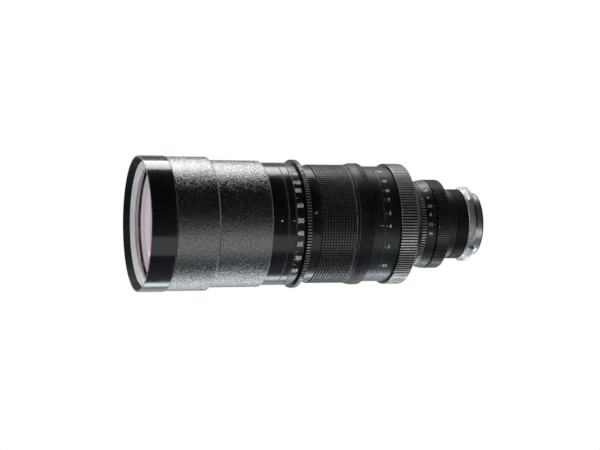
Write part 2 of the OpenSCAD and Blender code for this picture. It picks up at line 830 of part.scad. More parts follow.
module compensator_cell() {
    x_from = x_compensator - compensator_nose;
    seat_r = zoom_glass_r - seat_land;
    x_seat = x_from + cell_lip + compensator_edge + seat_gap(-variator_front_curve, zoom_glass_r, seat_r);
    color("#222326") difference() {
        turned([
            [zoom_glass_r + fit, x_from], [cell_r, x_from], [cell_r, x_compensator + compensator_tail],
            [zoom_glass_r, x_compensator + compensator_tail], [seat_r, x_seat],
            [zoom_glass_r + fit, x_seat]
        ]);
        roller_seats(x_compensator, compensator_angle);
    }
}

module compensator_lens() {
    x_from = x_compensator - compensator_nose + cell_lip;
    color("#8c93a0") lens(zoom_glass_r, x_from, x_from + compensator_edge,
        compensator_curve, -variator_front_curve);
}

module compensator_rollers() {
    color("#b08d4f") rollers(x_compensator, compensator_angle, cam_r - slot_clearance);
}

// Fixed middle
module ridge_ring() {
    r = ridge_d / 2;
    r_front = r - ridge_front_drop;
    x_step = x_ridge + ridge_step_l;
    x_to = x_middle - seam;
    color("#17181a") difference() {
        turned([
            [cam_in_r, x_ridge], [r_front - edge, x_ridge], [r_front, x_ridge + edge],
            [r_front, x_step - ridge_notch], [r_front - ridge_notch, x_step], [r_front, x_step + ridge_notch],
            [r, x_step + ridge_cone_l], [r, x_to - edge], [r - edge, x_to], [pocket_r + fit, x_to],
            [pocket_r + fit, x_to - pocket_depth], [fixed_bore_r, x_to - pocket_depth], [fixed_bore_r, x_to],
            [cam_in_r, x_to]
        ]);
        axial_pin(stop_pin_r + fit, zoom_stop_r, stop_angle, x_ridge - cut, x_ridge + stop_pin_seat + fit);
    }
}

module middle_barrel() {
    r = middle_d / 2;
    x_to = x_focus - seam;
    color("#26262a") difference() {
        turned([
            [fixed_bore_r + fit, x_middle - spigot_l], [pocket_r, x_middle - spigot_l],
            [pocket_r, x_middle - seam], [r, x_middle - seam], [r, x_to - edge], [r - edge, x_to],
            [fixed_bore_r + fit, x_to]
        ]);
        axial_pin(stop_pin_r + fit, focus_stop_r, stop_angle, x_to - stop_pin_seat - fit, x_to + cut);
    }
}

module ring_stop_pins() {
    color("#8d8f92") {
        axial_pin(stop_pin_r, zoom_stop_r, stop_angle, x_zoom_end - stop_reach + stop_gap,
            x_ridge + stop_pin_seat);
        axial_pin(stop_pin_r, focus_stop_r, stop_angle, x_focus - seam - stop_pin_seat,
            x_focus + stop_reach - stop_gap);
    }
}

// Focus ring and what turns with it
module focus_scale_ring() {
    r = middle_d / 2;
    color("#26262a") difference() {
        turned([
            [ring_in_r, x_focus], [r - edge, x_focus], [r, x_focus + edge], [r, x_focus_grip],
            [focus_grip_seat_r, x_focus_grip], [focus_grip_seat_r, x_focus_end], [ring_in_r, x_focus_end]
        ]);
        stop_groove(focus_stop_r, stop_angle, focus_near, focus_far, x_focus - cut, x_focus + stop_reach);
        key_screws(focus_angle, x_focus_screw, focus_grip_seat_r, focus_screw_r + fit,
            focus_screw_head_r + fit, focus_screw_head_l + screw_sink, cut);
    }
}

module focus_grip_ring() {
    color("#8b8c8e") ribbed_ring(focus_ribs, focus_grip_d / 2, rib_h, focus_grip_seat_r + fit,
        rib_root_share, rib_tip_share, x_focus_grip + seam, x_focus_end);
}

module focus_sleeve() {
    color("#8f9194") difference() {
        tube(cam_r, cam_in_r, x_sleeve, x_focus_end);
        helical_slots(x_focus_group, -focus_lead, focus_near_rad, focus_far_rad, focus_angle);
        for (i = [0 : follower_count - 1])
            radial_pin(focus_screw_r + fit, x_focus_screw, focus_angle + i * 360 / follower_count,
                cam_in_r - cut, cam_r + cut);
    }
}

module focus_key_screws() {
    r_top = focus_grip_seat_r - screw_sink;
    color("#6d6f72") difference() {
        key_screws(focus_angle, x_focus_screw, r_top, focus_screw_r, focus_screw_head_r,
            focus_screw_head_l, 0);
        screw_slots(focus_angle, x_focus_screw, r_top, focus_screw_head_r);
    }
}

module focus_cell() {
    color("#222326") sliding_cell(x_focus_group, focus_nose, focus_tail, focus_angle,
        focus_glass_r, focus_front_edge, focus_inner_curve,
        focus_glass_r, focus_rear_edge, focus_rear_curve);
}

module focus_front_lens() {
    x_from = x_focus_group - focus_nose + cell_lip;
    color("#8c93a0") lens(focus_glass_r, x_from, x_from + focus_front_edge,
        focus_front_curve, focus_inner_curve);
}

module focus_rear_lens() {
    x_to = x_focus_group + focus_tail - cell_lip;
    color("#8c93a0") lens(focus_glass_r, x_to - focus_rear_edge, x_to, focus_rear_curve, -focus_inner_curve);
}

module focus_rollers() {
    color("#b08d4f") rollers(x_focus_group, focus_angle, cam_r - slot_clearance);
}

// Rear body and iris
module rear_body() {
    color("#17181a") difference() {
        turned([
            [cam_in_r, x_cone], [cone_front_d / 2 - edge, x_cone], [cone_front_d / 2, x_cone + edge],
            [cone_rear_d / 2, x_iris - seam], [spigot_r, x_iris - seam], [spigot_r, x_spigot_end],
            [spigot_in_r, x_spigot_end], [spigot_in_r, x_iris_seat], [web_bore_r, x_iris_seat],
            [web_bore_r, x_guide_end + seam], [cam_in_r, x_guide_end + seam]
        ]);
        iris_pin_slot();
    }
}

// The slot that lets the iris drive pin through the rear body
module iris_pin_slot() {
    half = iris_pin_r + stop_gap;
    ends = asin(half / spigot_in_r) + stop_slack;
    on_axis() rotate([0, 0, iris_pin_angle - iris_close - ends])
        rotate_extrude(angle = iris_travel + 2 * ends)
            translate([spigot_in_r - cut, x_iris_pin - half])
                square([spigot_r - spigot_in_r + 2 * cut, 2 * half]);
}

module iris_base_plate() {
    color("#1b1b1d") {
        tube(iris_bore_r, open_r, x_iris_seat, x_iris_seat + base_plate_l);
        for (i = [0 : blade_count - 1])
            axial_pin(stud_r, pivot_r, i * 360 / blade_count, x_iris_seat, x_drive - blade_gap / 2);
    }
}

// Place of a blade's drive pin, seen from the front, when the blade has swung by the given angle from open
function blade_pin_place(swing) = [pivot_r, 0] + polar(drive_arm, swing - blade_swing / 2 - 90);

// One side of a cam slot in the drive ring, as the pin's path seen from the turning ring
function cam_side(offset) = [
    for (i = [0 : blade_steps])
        let (
            turn = -iris_close - cam_slack + (iris_travel + 2 * cam_slack) * i / blade_steps,
            p = blade_pin_place(blade_rest - blade_ratio * turn)
        ) polar(norm(p) + offset, atan2(p[1], p[0]) - turn)
];

function reversed(points) = [for (i = [len(points) - 1 : -1 : 0]) points[i]];

module iris_drive_ring() {
    half = blade_pin_r + slot_clearance;
    color("#8f9194") difference() {
        union() {
            tube(iris_bore_r, open_r + cut, x_drive, x_drive + drive_plate_l);
            tube(iris_bore_r, iris_bore_r - drive_rim_w, x_drive + drive_plate_l, x_drive_end);
        }
        for (i = [0 : blade_count - 1])
            rotate([i * 360 / blade_count, 0, 0])
                prism(concat(cam_side(-half), reversed(cam_side(half))),
                    x_drive - cut, x_drive + drive_plate_l + cut);
        radial_pin(iris_pin_r + fit, x_iris_pin, iris_pin_angle, iris_pin_in_r - cut, iris_bore_r + cut);
    }
}

module iris_drive_pin() {
    color("#8d8f92") radial_pin(iris_pin_r, x_iris_pin, iris_pin_angle, iris_pin_in_r, iris_pin_out_r);
}

module iris_retainer() {
    x_from = x_drive_end + seam;
    color("#1b1b1d") tube(iris_bore_r, open_r + cut, x_from, x_from + iris_retainer_l);
}

// A blade seen from the front when open, with its pivot on +Y
module blade_outline() {
    difference() {
        union() {
            polygon(concat(
                [for (i = [0 : blade_steps]) polar(open_r, blade_start + blade_span * i / blade_steps)],
                [for (i = [blade_steps : -1 : 0])
                    polar(blade_outer_r, blade_start + blade_span * i / blade_steps)]
            ));
            translate([blade_outer_r - neck_half, -neck_half])
                square([pivot_r - blade_outer_r + neck_half, 2 * neck_half]);
            translate([pivot_r, 0]) circle(ear_r);
            translate([pivot_r, 0]) rotate(-blade_swing / 2 - 90) translate([0, -2 * blade_pin_r])
                square([drive_arm + 2 * blade_pin_r, 4 * blade_pin_r]);
        }
        translate([pivot_r, 0]) circle(stud_r + fit);
    }
}

module iris_blade(index) {
    x_from = x_blades + (index - 1) * blade_pitch;
    color("#2b2b2e") rotate([(index - 1) * 360 / blade_count, 0, 0]) on_axis()
        translate([pivot_r, 0]) rotate(blade_rest) translate([-pivot_r, 0]) {
            translate([0, 0, x_from]) linear_extrude(blade_l) blade_outline();
            translate(concat(blade_pin_place(0), x_from))
                cylinder(r = blade_pin_r, h = x_drive + drive_plate_l - x_from);
        }
}

module iris_ring() {
    r = iris_knurl_d / 2;
    color("#1b1c1e") difference() {
        union() {
            prism(ribs(iris_teeth, r - knurl_h, r, rib_root_share, gear_tip_share), x_iris, x_iris_scale);
            turned([
                [spigot_r, x_iris_scale], [iris_scale_front_d / 2, x_iris_scale],
                [iris_scale_rear_d / 2, x_iris_end], [spigot_r, x_iris_end]
            ]);
        }
        tube(spigot_r + fit, 0, x_iris - cut, x_iris_end + cut);
        radial_pin(iris_pin_r + fit, x_iris_pin, iris_pin_angle, spigot_r, iris_pin_out_r + fit);
    }
}

module rear_grip_ring() {
    color("#1f1f22") ribbed_ring(rear_grip_ribs, rear_grip_d / 2, fine_rib_h, spigot_r + fit,
        rib_root_share, gear_tip_share, x_rear_grip, x_rear_tube);
}

// Rear tube and mount
module rear_tube() {
    color("#17181a") difference() {
        turned([
            [rear_in_r, x_spigot_end - tube_spigot_l], [spigot_in_r - fit, x_spigot_end - tube_spigot_l],
            [spigot_in_r - fit, x_spigot_end], [rear_tube_r, x_spigot_end], [rear_tube_r, x_collar - edge],
            [rear_tube_r - edge, x_collar], [collar_seat_r, x_collar], [collar_seat_r, x_bayonet],
            [rear_in_r, x_bayonet]
        ]);
        mount_screw_holes(mount_screw_r + fit, x_flange - mount_screw_l - fit, x_bayonet + cut);
    }
}

module rear_collar() {
    color("#1f1f22") ribbed_ring(collar_ribs, rear_tube_r, collar_rib_h, collar_seat_r + fit,
        rib_root_share, gear_tip_share, x_collar + seam, x_bayonet);
}

// Four axial holes, two in each lug
module mount_screw_holes(r, x_from, x_to) {
    for (top = lug_angles)
        for (side = [-mount_screw_spread, mount_screw_spread])
            axial_pin(r, mount_screw_circle_r, top + side, x_from, x_to);
}

module mount_bayonet() {
    r = lug_d / 2;
    color("#c4c5c7") difference() {
        union() {
            turned([
                [mount_bore_r, x_bayonet], [rear_tube_r - edge, x_bayonet], [rear_tube_r, x_bayonet + edge],
                [rear_tube_r, x_flange - neck_l], [rear_tube_r - neck_depth, x_flange - neck_l],
                [rear_tube_r - neck_depth, x_flange], [mount_relief_r, x_flange],
                [mount_relief_r, x_flange - mount_relief], [mount_bore_r, x_flange - mount_relief]
            ]);
            for (middle = lug_angles)
                on_axis() rotate([0, 0, middle - lug_span / 2]) rotate_extrude(angle = lug_span) polygon([
                    [mount_bore_r, x_lug - lug_bevel], [rear_tube_r, x_lug - lug_bevel], [r, x_lug],
                    [r, x_flange - edge], [r - edge, x_flange], [mount_relief_r, x_flange],
                    [mount_relief_r, x_flange - mount_relief], [mount_bore_r, x_flange - mount_relief]
                ]);
        }
        mount_screw_holes(mount_screw_r + fit, x_bayonet - cut, x_flange + cut);
        mount_screw_holes(mount_screw_head_r + fit, x_flange - mount_screw_head_l - fit, x_flange + cut);
        axial_pin(notch_r, r, notch_angle, x_flange - notch_l, x_flange + cut);
    }
}

module mount_screws() {
    color("#9a9c9f") {
        mount_screw_holes(mount_screw_r, x_flange - mount_screw_l, x_flange - mount_screw_head_l);
        mount_screw_holes(mount_screw_head_r, x_flange - mount_screw_head_l, x_flange - fit);
    }
}

module rear_barrel() {
    r = rear_barrel_d / 2;
    x_to = x_flange + rear_barrel_l;
    color("#b9babc") turned([
        [rear_bore_d / 2, x_bayonet], [mount_bore_r - fit, x_bayonet], [mount_bore_r - fit, x_flange],
        [r, x_flange], [r, x_to - barrel_chamfer], [r - barrel_chamfer, x_to], [rear_bore_d / 2, x_to]
    ]);
}

// Rear group
module rear_lens_cell() {
    seat_r = rear_glass_r - rear_seat_step;
    x_seat = x_rear_crown - seat_gap(rear_crown_curve, rear_glass_r, seat_r);
    color("#1b1b1d") turned([
        [seat_r, x_rear_cell], [rear_cell_r, x_rear_cell], [rear_cell_r, x_rear_cell_end],
        [rear_glass_r + fit, x_rear_cell_end], [rear_glass_r + fit, x_seat], [seat_r, x_seat]
    ]);
}

module rear_crown_lens() {
    color("#8c93a0") lens(rear_glass_r, x_rear_crown, x_rear_spacer, rear_crown_curve, rear_inner_curve);
}

module rear_spacer_ring() {
    r_in = rear_glass_r - rear_ring_w;
    color("#1b1b1d") tube(rear_glass_r, r_in, x_rear_spacer + seat_gap(rear_inner_curve, rear_glass_r, r_in),
        x_rear_singlet - seat_gap(rear_singlet_curve, rear_glass_r, r_in));
}

module rear_singlet_lens() {
    color("#8c93a0") lens(rear_glass_r, x_rear_singlet, x_rear_ring, rear_singlet_curve, rear_last_curve);
}

module rear_retaining_ring() {
    color("#1b1b1d") tube(rear_glass_r, rear_glass_r - rear_ring_w, x_rear_ring, x_rear_ring + rear_ring_l);
}

front_bezel();
front_retaining_ring();
front_flint_lens();
front_crown_lens();
front_spacer_ring();
front_singlet_lens();
front_lens_cell();
hood_front_shell();
hood_rear_shell();
front_barrel();
index_ring();
guide_tube();
guide_tube_screws();
ridge_ring();
middle_barrel();
ring_stop_pins();
rear_body();
iris_base_plate();
iris_retainer();
rear_grip_ring();
rear_tube();
rear_collar();
mount_bayonet();
mount_screws();
rear_barrel();
rear_lens_cell();
rear_crown_lens();
rear_spacer_ring();
rear_singlet_lens();
rear_retaining_ring();
zoom_ring();
zoom_gear_ring();
zoom_grip();
cam_barrel();
zoom_key_screws();
variator_cell();
variator_front_lens();
variator_rear_lens();
variator_rollers();
compensator_cell();
compensator_lens();
compensator_rollers();
focus_scale_ring();
focus_grip_ring();
focus_sleeve();
focus_key_screws();
focus_cell();
focus_front_lens();
focus_rear_lens();
focus_rollers();
iris_ring();
iris_drive_ring();
iris_drive_pin();
iris_blade(1);  // iris_blade_1
iris_blade(2);  // iris_blade_2
iris_blade(3);  // iris_blade_3
iris_blade(4);  // iris_blade_4
iris_blade(5);  // iris_blade_5
iris_blade(6);  // iris_blade_6
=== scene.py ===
import json
import math

import bmesh
import bpy
import mathutils
import numpy as np
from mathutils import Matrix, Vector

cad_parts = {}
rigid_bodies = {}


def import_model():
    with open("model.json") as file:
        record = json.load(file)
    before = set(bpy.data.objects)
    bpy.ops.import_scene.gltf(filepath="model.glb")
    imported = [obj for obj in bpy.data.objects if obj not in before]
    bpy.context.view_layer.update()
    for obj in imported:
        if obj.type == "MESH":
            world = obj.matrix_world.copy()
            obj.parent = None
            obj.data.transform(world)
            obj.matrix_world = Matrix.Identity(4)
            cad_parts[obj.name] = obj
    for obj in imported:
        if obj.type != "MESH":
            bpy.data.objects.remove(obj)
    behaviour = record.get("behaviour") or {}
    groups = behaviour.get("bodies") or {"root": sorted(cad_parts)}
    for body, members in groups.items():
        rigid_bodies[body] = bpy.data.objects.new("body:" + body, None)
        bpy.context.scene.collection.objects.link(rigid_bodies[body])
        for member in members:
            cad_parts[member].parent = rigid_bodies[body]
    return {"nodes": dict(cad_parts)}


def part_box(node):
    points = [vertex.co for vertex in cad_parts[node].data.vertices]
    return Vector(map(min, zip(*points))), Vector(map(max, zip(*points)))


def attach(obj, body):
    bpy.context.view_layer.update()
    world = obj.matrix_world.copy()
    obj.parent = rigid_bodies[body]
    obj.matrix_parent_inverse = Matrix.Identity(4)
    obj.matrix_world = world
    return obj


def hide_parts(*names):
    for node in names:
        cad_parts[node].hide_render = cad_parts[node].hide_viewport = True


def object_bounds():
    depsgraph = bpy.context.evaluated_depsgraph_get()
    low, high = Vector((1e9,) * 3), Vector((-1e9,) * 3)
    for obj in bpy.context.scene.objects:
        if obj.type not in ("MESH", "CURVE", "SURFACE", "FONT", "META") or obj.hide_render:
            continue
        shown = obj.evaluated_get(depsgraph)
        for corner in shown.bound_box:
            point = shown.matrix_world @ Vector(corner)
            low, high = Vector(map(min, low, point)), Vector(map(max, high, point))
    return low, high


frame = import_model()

CAD_LOW, CAD_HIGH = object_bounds()

bl_info = {
    "name": "Cinema zoom lens",
    "version": (1, 0, 0),
    "blender": (4, 5, 0),
    "location": "3D View > Sidebar > Lens",
    "description": "Dresses the packed cinema zoom lens and sets up its studio",
    "category": "Add Mesh",
}

MM = 0.001

# Sections of a plain ring, length of the wear beside its edges, and rounding of the fine edges
SEGMENTS = 288
WEAR = 0.3 * MM
FINE_EDGE = 0.35 * MM

# Clearance of seated pieces, gap between neighbouring rings, and length of the front cell's flange
FIT = 0.05 * MM
SEAM = 0.3 * MM
CELL_FLANGE = 3.7 * MM

# Radii on which the rings seat, from the front to the mount
FRONT_TUBE_R = 51.2 * MM
FRONT_CELL_R = 49.55 * MM
INDEX_SEAT_R = 47.0 * MM
BAND_R = 50.0 * MM
SLEEVE_R = 43.95 * MM
TURNING_BORE_R = 43.55 * MM
GUIDE_SEAT_R = 40.55 * MM
RIDGE_SEAT_R = 48.2 * MM
FOCUS_SEAT_R = 47.0 * MM
IRIS_SEAT_R = 33.0 * MM
TUBE_SEAT_R = 29.0 * MM
SCREW_CIRCLE_R = 28.35 * MM


# Places and sizes

def span(node):
    """First station, last station and outside radius of a CAD node"""
    low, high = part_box(node)
    return low.x, high.x, max(high.z, -low.z, high.y, -low.y)


def around(station, radius, angle):
    """A point from its station, radius and its angle below the near side, in radians"""
    return (station, -radius * math.cos(angle), -radius * math.sin(angle))


def rounded(corners, steps=4):
    """Outline points (station, radius, worn) from corners (station, radius, rounding)"""
    points = []
    for i, (x, r, rounding) in enumerate(corners):
        if rounding <= 0:
            points.append((x, r, 0.0))
            continue
        corner = mathutils.Vector((x, r))
        back = mathutils.Vector(corners[i - 1][:2]) - corner
        ahead = mathutils.Vector(corners[(i + 1) % len(corners)][:2]) - corner
        start = corner + back.normalized() * min(rounding, back.length * 0.4)
        end = corner + ahead.normalized() * min(rounding, ahead.length * 0.4)
        before = start + back.normalized() * min(WEAR, back.length * 0.08)
        after = end + ahead.normalized() * min(WEAR, ahead.length * 0.08)
        points.append((before.x, before.y, 0.0))
        for k in range(steps + 1):
            t = k / steps
            p = start * (1 - t) ** 2 + corner * (2 * t * (1 - t)) + end * t * t
            points.append((p.x, p.y, 1.0))
        points.append((after.x, after.y, 0.0))
    return points


def ring_outline(x0, x1, r, bore, front, rear, steps=4):
    """Outline of a plain ring whose outer edges have a front and a rear rounding"""
    return rounded([(x0, bore, 0), (x0, r, front), (x1, r, rear), (x1, bore, 0)], steps)


def even_angles(count=SEGMENTS):
    return [(2 * math.pi * i / count, 0.0) for i in range(count)]


def tooth(*flank, root=True):
    """A tooth as (share of the pitch, depth share) pairs, from those of one flank, middle to root"""
    pattern = [(-share, depth) for share, depth in reversed(flank)] + [(0.0, 0.0), *flank]
    return pattern + [(0.5, 1.0)] if root else pattern


def toothed_angles(teeth, pattern):
    """Angles and depth shares of a ring of teeth"""
    return [(2 * math.pi * (i + share) / teeth, depth) for i in range(teeth) for share, depth in pattern]


def arc_points(radius, start, end, steps):
    """Points of an arc, as (depth, height) pairs"""
    return [(radius * math.cos(a), radius * math.sin(a)) for a in np.linspace(start, end, steps + 1)]


def bulge(curve, r):
    """How far a surface of that curvature stands out at the axis, over r; hollow ones are negative"""
    return math.copysign(abs(curve) - math.sqrt(curve * curve - r * r), curve)


# Meshes

def add_object(name, mesh, body, look, replaced=(), sharp=32):
    """Adds a mesh with its finish, riding its body, smooth but for edges sharper than the given degrees"""
    mesh.validate()
    mesh.polygons.foreach_set("use_smooth", [True] * len(mesh.polygons))
    mesh.set_sharp_from_angle(angle=math.radians(sharp))
    mesh.materials.append(finish(look))
    piece = bpy.data.objects.new(name, mesh)
    bpy.context.scene.collection.objects.link(piece)
    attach(piece, body)
    if replaced:
        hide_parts(*replaced)


def turned(name, outline, body, look, replaced=(), angles=None, root=None):
    """A closed ring turned from an outline; where the depth share is 1 it is cut down to the root radius"""
    angles = angles or even_angles()
    tip = max(r for _, r, _ in outline)
    low = tip if root is None else root
    points, worn, top = [], [], []
    for angle, depth in angles:
        limit = tip + (low - tip) * depth
        for x, r, edge in outline:
            radius = min(r, limit)
            points.append(around(x, radius, angle))
            worn.append(edge if radius == r else 0.0)
            # top is 1 on the outermost radius and falls to 0 at the root; the ribbed finishes use it to place
            # a painted highlight on the tops and painted shade in the grooves
            top.append(1.0 if radius >= tip - 1e-7 else max(0.0, 1.0 - (tip - radius) / max(tip - low, 1e-6)))
    add_object(name, ring_mesh(name, points, len(angles), worn, top), body, look, replaced)


def toothed_ring(name, node, body, look, bore, edges, teeth, depth, pattern, steps=4):
    """A geared or ribbed ring in place of a CAD node, cut to the given depth between its teeth"""
    x0, x1, r = span(node)
    turned(name, ring_outline(x0, x1, r, bore, *edges, steps), body, look, [node],
           toothed_angles(teeth, pattern), r - depth)


def ring_mesh(name, points, n, worn, top):
    """A closed ring of n sections, each with the same number of points"""
    m = len(points) // n
    faces = [
        (i * m + j, i * m + (j + 1) % m, (i + 1) % n * m + (j + 1) % m, (i + 1) % n * m + j)
        for i in range(n) for j in range(m)
    ]
    mesh = bpy.data.meshes.new(name)
    mesh.from_pydata(points, [], faces)
    for label, values in (("worn", worn), ("top", top)):
        mesh.attributes.new(label, "FLOAT", "POINT").data.foreach_set("value", values)
    work = bmesh.new()
    work.from_mesh(mesh)
    bmesh.ops.remove_doubles(work, verts=work.verts, dist=1e-7)
    bmesh.ops.dissolve_degenerate(work, edges=work.edges, dist=1e-7)
    close_mesh(work, mesh)
    return mesh


def close_mesh(work, mesh):
    """Turns every face outwards and writes the bmesh to the mesh"""
    bmesh.ops.recalc_face_normals(work, faces=work.faces)
    work.to_mesh(mesh)
    work.free()


def prism(work, outline, x0, x1, middle):
    """Adds a closed prism along the lens, whose outline of (depth, height) pairs lies round a middle point"""
    ends = [[work.verts.new((x, middle[1] + y, middle[2] + z)) for y, z in outline] for x in (x0, x1)]
    for end in ends:
        work.faces.new(end)
    for i in range(len(outline)):
        work.faces.new((ends[0][i - 1], ends[0][i], ends[1][i], ends[1][i - 1]))


class Marks:
    """Painted marks wrapped round the barrel: figures, dots and lines, joined into one mesh"""

    def __init__(self, radius):
        self.radius = radius if callable(radius) else (lambda x: radius)
        self.thickness = 0.04 * MM
        self.work = bmesh.new()

    def wrap(self, mesh, station, angle):
        """Bends a flat mesh round the barrel and joins it to the rest"""
        added = [self.work.verts.new(v.co) for v in mesh.vertices]
        for p in mesh.polygons:
            self.work.faces.new([added[i] for i in p.vertices])
        for v in added:
            x = station + v.co.x
            radius = self.radius(x)
            v.co = around(x, radius + v.co.z, math.radians(angle) - v.co.y / radius)
        bpy.data.meshes.remove(mesh)

    def figure(self, words, size, station, angle, squeeze=1.0):
        curve = bpy.data.curves.new("figure", "FONT")
        curve.body = words
        curve.size = size
        curve.extrude = self.thickness
        curve.offset = size * 0.035
        curve.resolution_u = 4
        curve.align_x = "CENTER"
        curve.align_y = "CENTER"
        holder = bpy.data.objects.new("figure", curve)
        bpy.context.scene.collection.objects.link(holder)
        graph = bpy.context.evaluated_depsgraph_get()
        mesh = bpy.data.meshes.new_from_object(holder.evaluated_get(graph))
        mesh.transform(mathutils.Matrix.Diagonal((squeeze, 1, 1, 1)))
        bpy.data.objects.remove(holder)
        self.wrap(mesh, station, angle)

    def figures(self, scale, size, station, squeeze):
        """Figures at (words, angle) pairs; those of three characters are squeezed"""
        for words, angle in scale:
            self.figure(words, size, station, angle, squeeze if len(words) == 3 else 1.0)

    def plate(self, outline, station, angle):
        n = len(outline)
        high = [(x, y, self.thickness) for x, y in outline]
        low = [(x, y, -self.thickness) for x, y in outline]
        sides = [(i, (i + 1) % n, n + (i + 1) % n, n + i) for i in range(n)]
        mesh = bpy.data.meshes.new("mark")
        mesh.from_pydata(high + low, [], [tuple(range(n)), tuple(range(2 * n - 1, n - 1, -1))] + sides)
        self.wrap(mesh, station, angle)

    def dot(self, size, station, angle):
        self.plate(arc_points(size / 2, 0, 2 * math.pi, 14)[:-1], station, angle)

    def line(self, length, width, station, angle):
        """A plate as long as given along the axis and as wide round the barrel"""
        x, y = length / 2, width / 2
        self.plate([(-x, -y), (x, -y), (x, y), (-x, y)], station, angle)

    def arc(self, width, station, start, end):
        """A line round the barrel, between two angles"""
        steps = max(2, int(abs(end - start) / 3))
        turn = (end - start) / steps
        length = math.radians(abs(turn)) * self.radius(station)
        for i in range(steps):
            self.line(width, length, station, start + turn * (i + 0.5))

    def finish(self, name, body, look, slot):
        mesh = bpy.data.meshes.new(name)
        close_mesh(self.work, mesh)
        add_object(name, mesh, body, look, sharp=20)


# Finishes

def shade(colour, share):
    """A darker or lighter form of a colour"""
    return tuple(c * share for c in colour)


def add_node(tree, kind, links, **settings):
    """A shader node with its settings, and a value or a link for each of its inputs"""
    made = tree.nodes.new("ShaderNode" + kind)
    for key, value in settings.items():
        setattr(made, key, value)
    for key, value in links.items():
        if isinstance(value, bpy.types.NodeSocket):
            tree.links.new(value, made.inputs[key])
        else:
            made.inputs[key].default_value = value
    return made


class Finish:
    """Builds one finish: a Principled shader and the nodes that feed its colour, roughness and relief"""

    def __init__(self, name, **values):
        self.material = bpy.data.materials.new(name)
        self.material.use_nodes = True
        self.tree = self.material.node_tree
        self.shader = self.tree.nodes["Principled BSDF"]
        for socket, value in values.items():
            self.shader.inputs[socket.replace("_", " ")].default_value = value
        self.places = self.tree.nodes.new("ShaderNodeTexCoord").outputs["Object"]
        self.relief = None

    def node(self, kind, links, **settings):
        return add_node(self.tree, kind, links, **settings)

    def noise(self, size, detail=2.0, rough=0.5, stretch=None):
        """Noise whose features are about the given size"""
        places = self.places
        if stretch:
            places = self.node("Mapping", {"Vector": places, "Scale": stretch}).outputs[0]
        links = {"Vector": places, "Scale": 1 / size, "Detail": detail, "Roughness": rough}
        return self.node("TexNoise", links).outputs["Fac"]

    def attribute(self, name):
        return self.node("Attribute", {}, attribute_name=name, attribute_type="GEOMETRY").outputs["Fac"]

    def ramp(self, value, low, high, low_to=0.0, high_to=1.0):
        links = {"Value": value, "From Min": low, "From Max": high, "To Min": low_to, "To Max": high_to}
        return self.node("MapRange", links, clamp=True).outputs[0]

    def maths(self, operation, a, b):
        return self.node("Math", {0: a, 1: b}, operation=operation).outputs[0]

    def blend(self, share, a, b):
        """A mix of two colours, each a link or a (red, green, blue) value"""
        first, second = (c if isinstance(c, bpy.types.NodeSocket) else (*c, 1.0) for c in (a, b))
        return self.node("Mix", {"Factor": share, 6: first, 7: second}, data_type="RGBA").outputs[2]

    def bump(self, height, depth, strength):
        """Relief on top of what the finish has already"""
        links = {"Height": height, "Distance": depth, "Strength": strength}
        if self.relief is not None:
            links["Normal"] = self.relief
        self.relief = self.node("Bump", links).outputs[0]
        self.set("Normal", self.relief)

    def set(self, socket, value):
        self.tree.links.new(value, self.shader.inputs[socket])


def gloss_paint(name, colour, roughness, wear, coat, shine):
    """Black stove enamel, faintly uneven, worn to metal along its edges"""
    f = Finish(name, Roughness=roughness, Coat_Weight=coat, Coat_Roughness=0.04, IOR=1.5,
               Specular_IOR_Level=shine)
    patches = f.noise(9 * MM, 4)
    smear = f.ramp(patches, 0.35, 0.75, roughness * 0.85, roughness * 1.4)
    rub = f.ramp(f.noise(4.0 * MM, 4, 0.55), 0.36, 0.72, 0.04, 0.32)
    rubbed = f.maths("MULTIPLY", f.maths("MULTIPLY", f.attribute("worn"), rub), wear)
    specks = f.ramp(f.noise(0.7 * MM, 1), 0.80, 0.84, 0.0, 0.35)
    base = f.blend(f.ramp(patches, 0.3, 0.8), colour, tuple(c * 1.5 + 0.002 for c in colour))
    base = f.blend(specks, base, (0.25, 0.25, 0.25))
    f.set("Base Color", f.blend(rubbed, base, (0.40, 0.40, 0.41)))
    f.set("Roughness", f.maths("ADD", smear, f.maths("MULTIPLY", rubbed, 0.2)))
    f.set("Metallic", f.maths("MULTIPLY", rubbed, 0.9))
    f.bump(f.noise(2.5 * MM, 2), 0.02 * MM, 0.35)
    f.bump(f.noise(0.5 * MM, 3, stretch=(4, 0.15, 0.15)), 0.01 * MM, 0.25)
    return f.material


def wrinkle_paint(name, colour):
    """Thick black paint baked into fine wrinkles, with painted shade darkening the folds and rubbed grey
    crests
    """
    f = Finish(name, IOR=1.7, Specular_IOR_Level=1.0)
    folds = f.maths("ABSOLUTE", f.maths("SUBTRACT", f.noise(1.8 * MM, 2, 0.55), 0.5), 0.0)
    crests = f.maths("ADD", f.noise(0.8 * MM, 1, 0.5), f.maths("MULTIPLY", folds, -0.7))
    # The folds are painted darker than the crests as painted shade; the lighter rubbed crests are wear
    tone = f.ramp(crests, 0.25, 0.62)
    base = f.blend(tone, shade(colour, 0.3), shade(colour, 1.3))
    rubbed = f.maths("MULTIPLY", f.ramp(crests, 0.46, 0.62), f.ramp(f.noise(14 * MM, 3), 0.35, 0.7, 0.2, 0.7))
    f.set("Base Color", f.blend(rubbed, base, shade(colour, 4)))
    f.set("Roughness", f.ramp(tone, 0.0, 1.0, 0.29, 0.16))
    f.bump(crests, 0.36 * MM, 1.0)
    return f.material


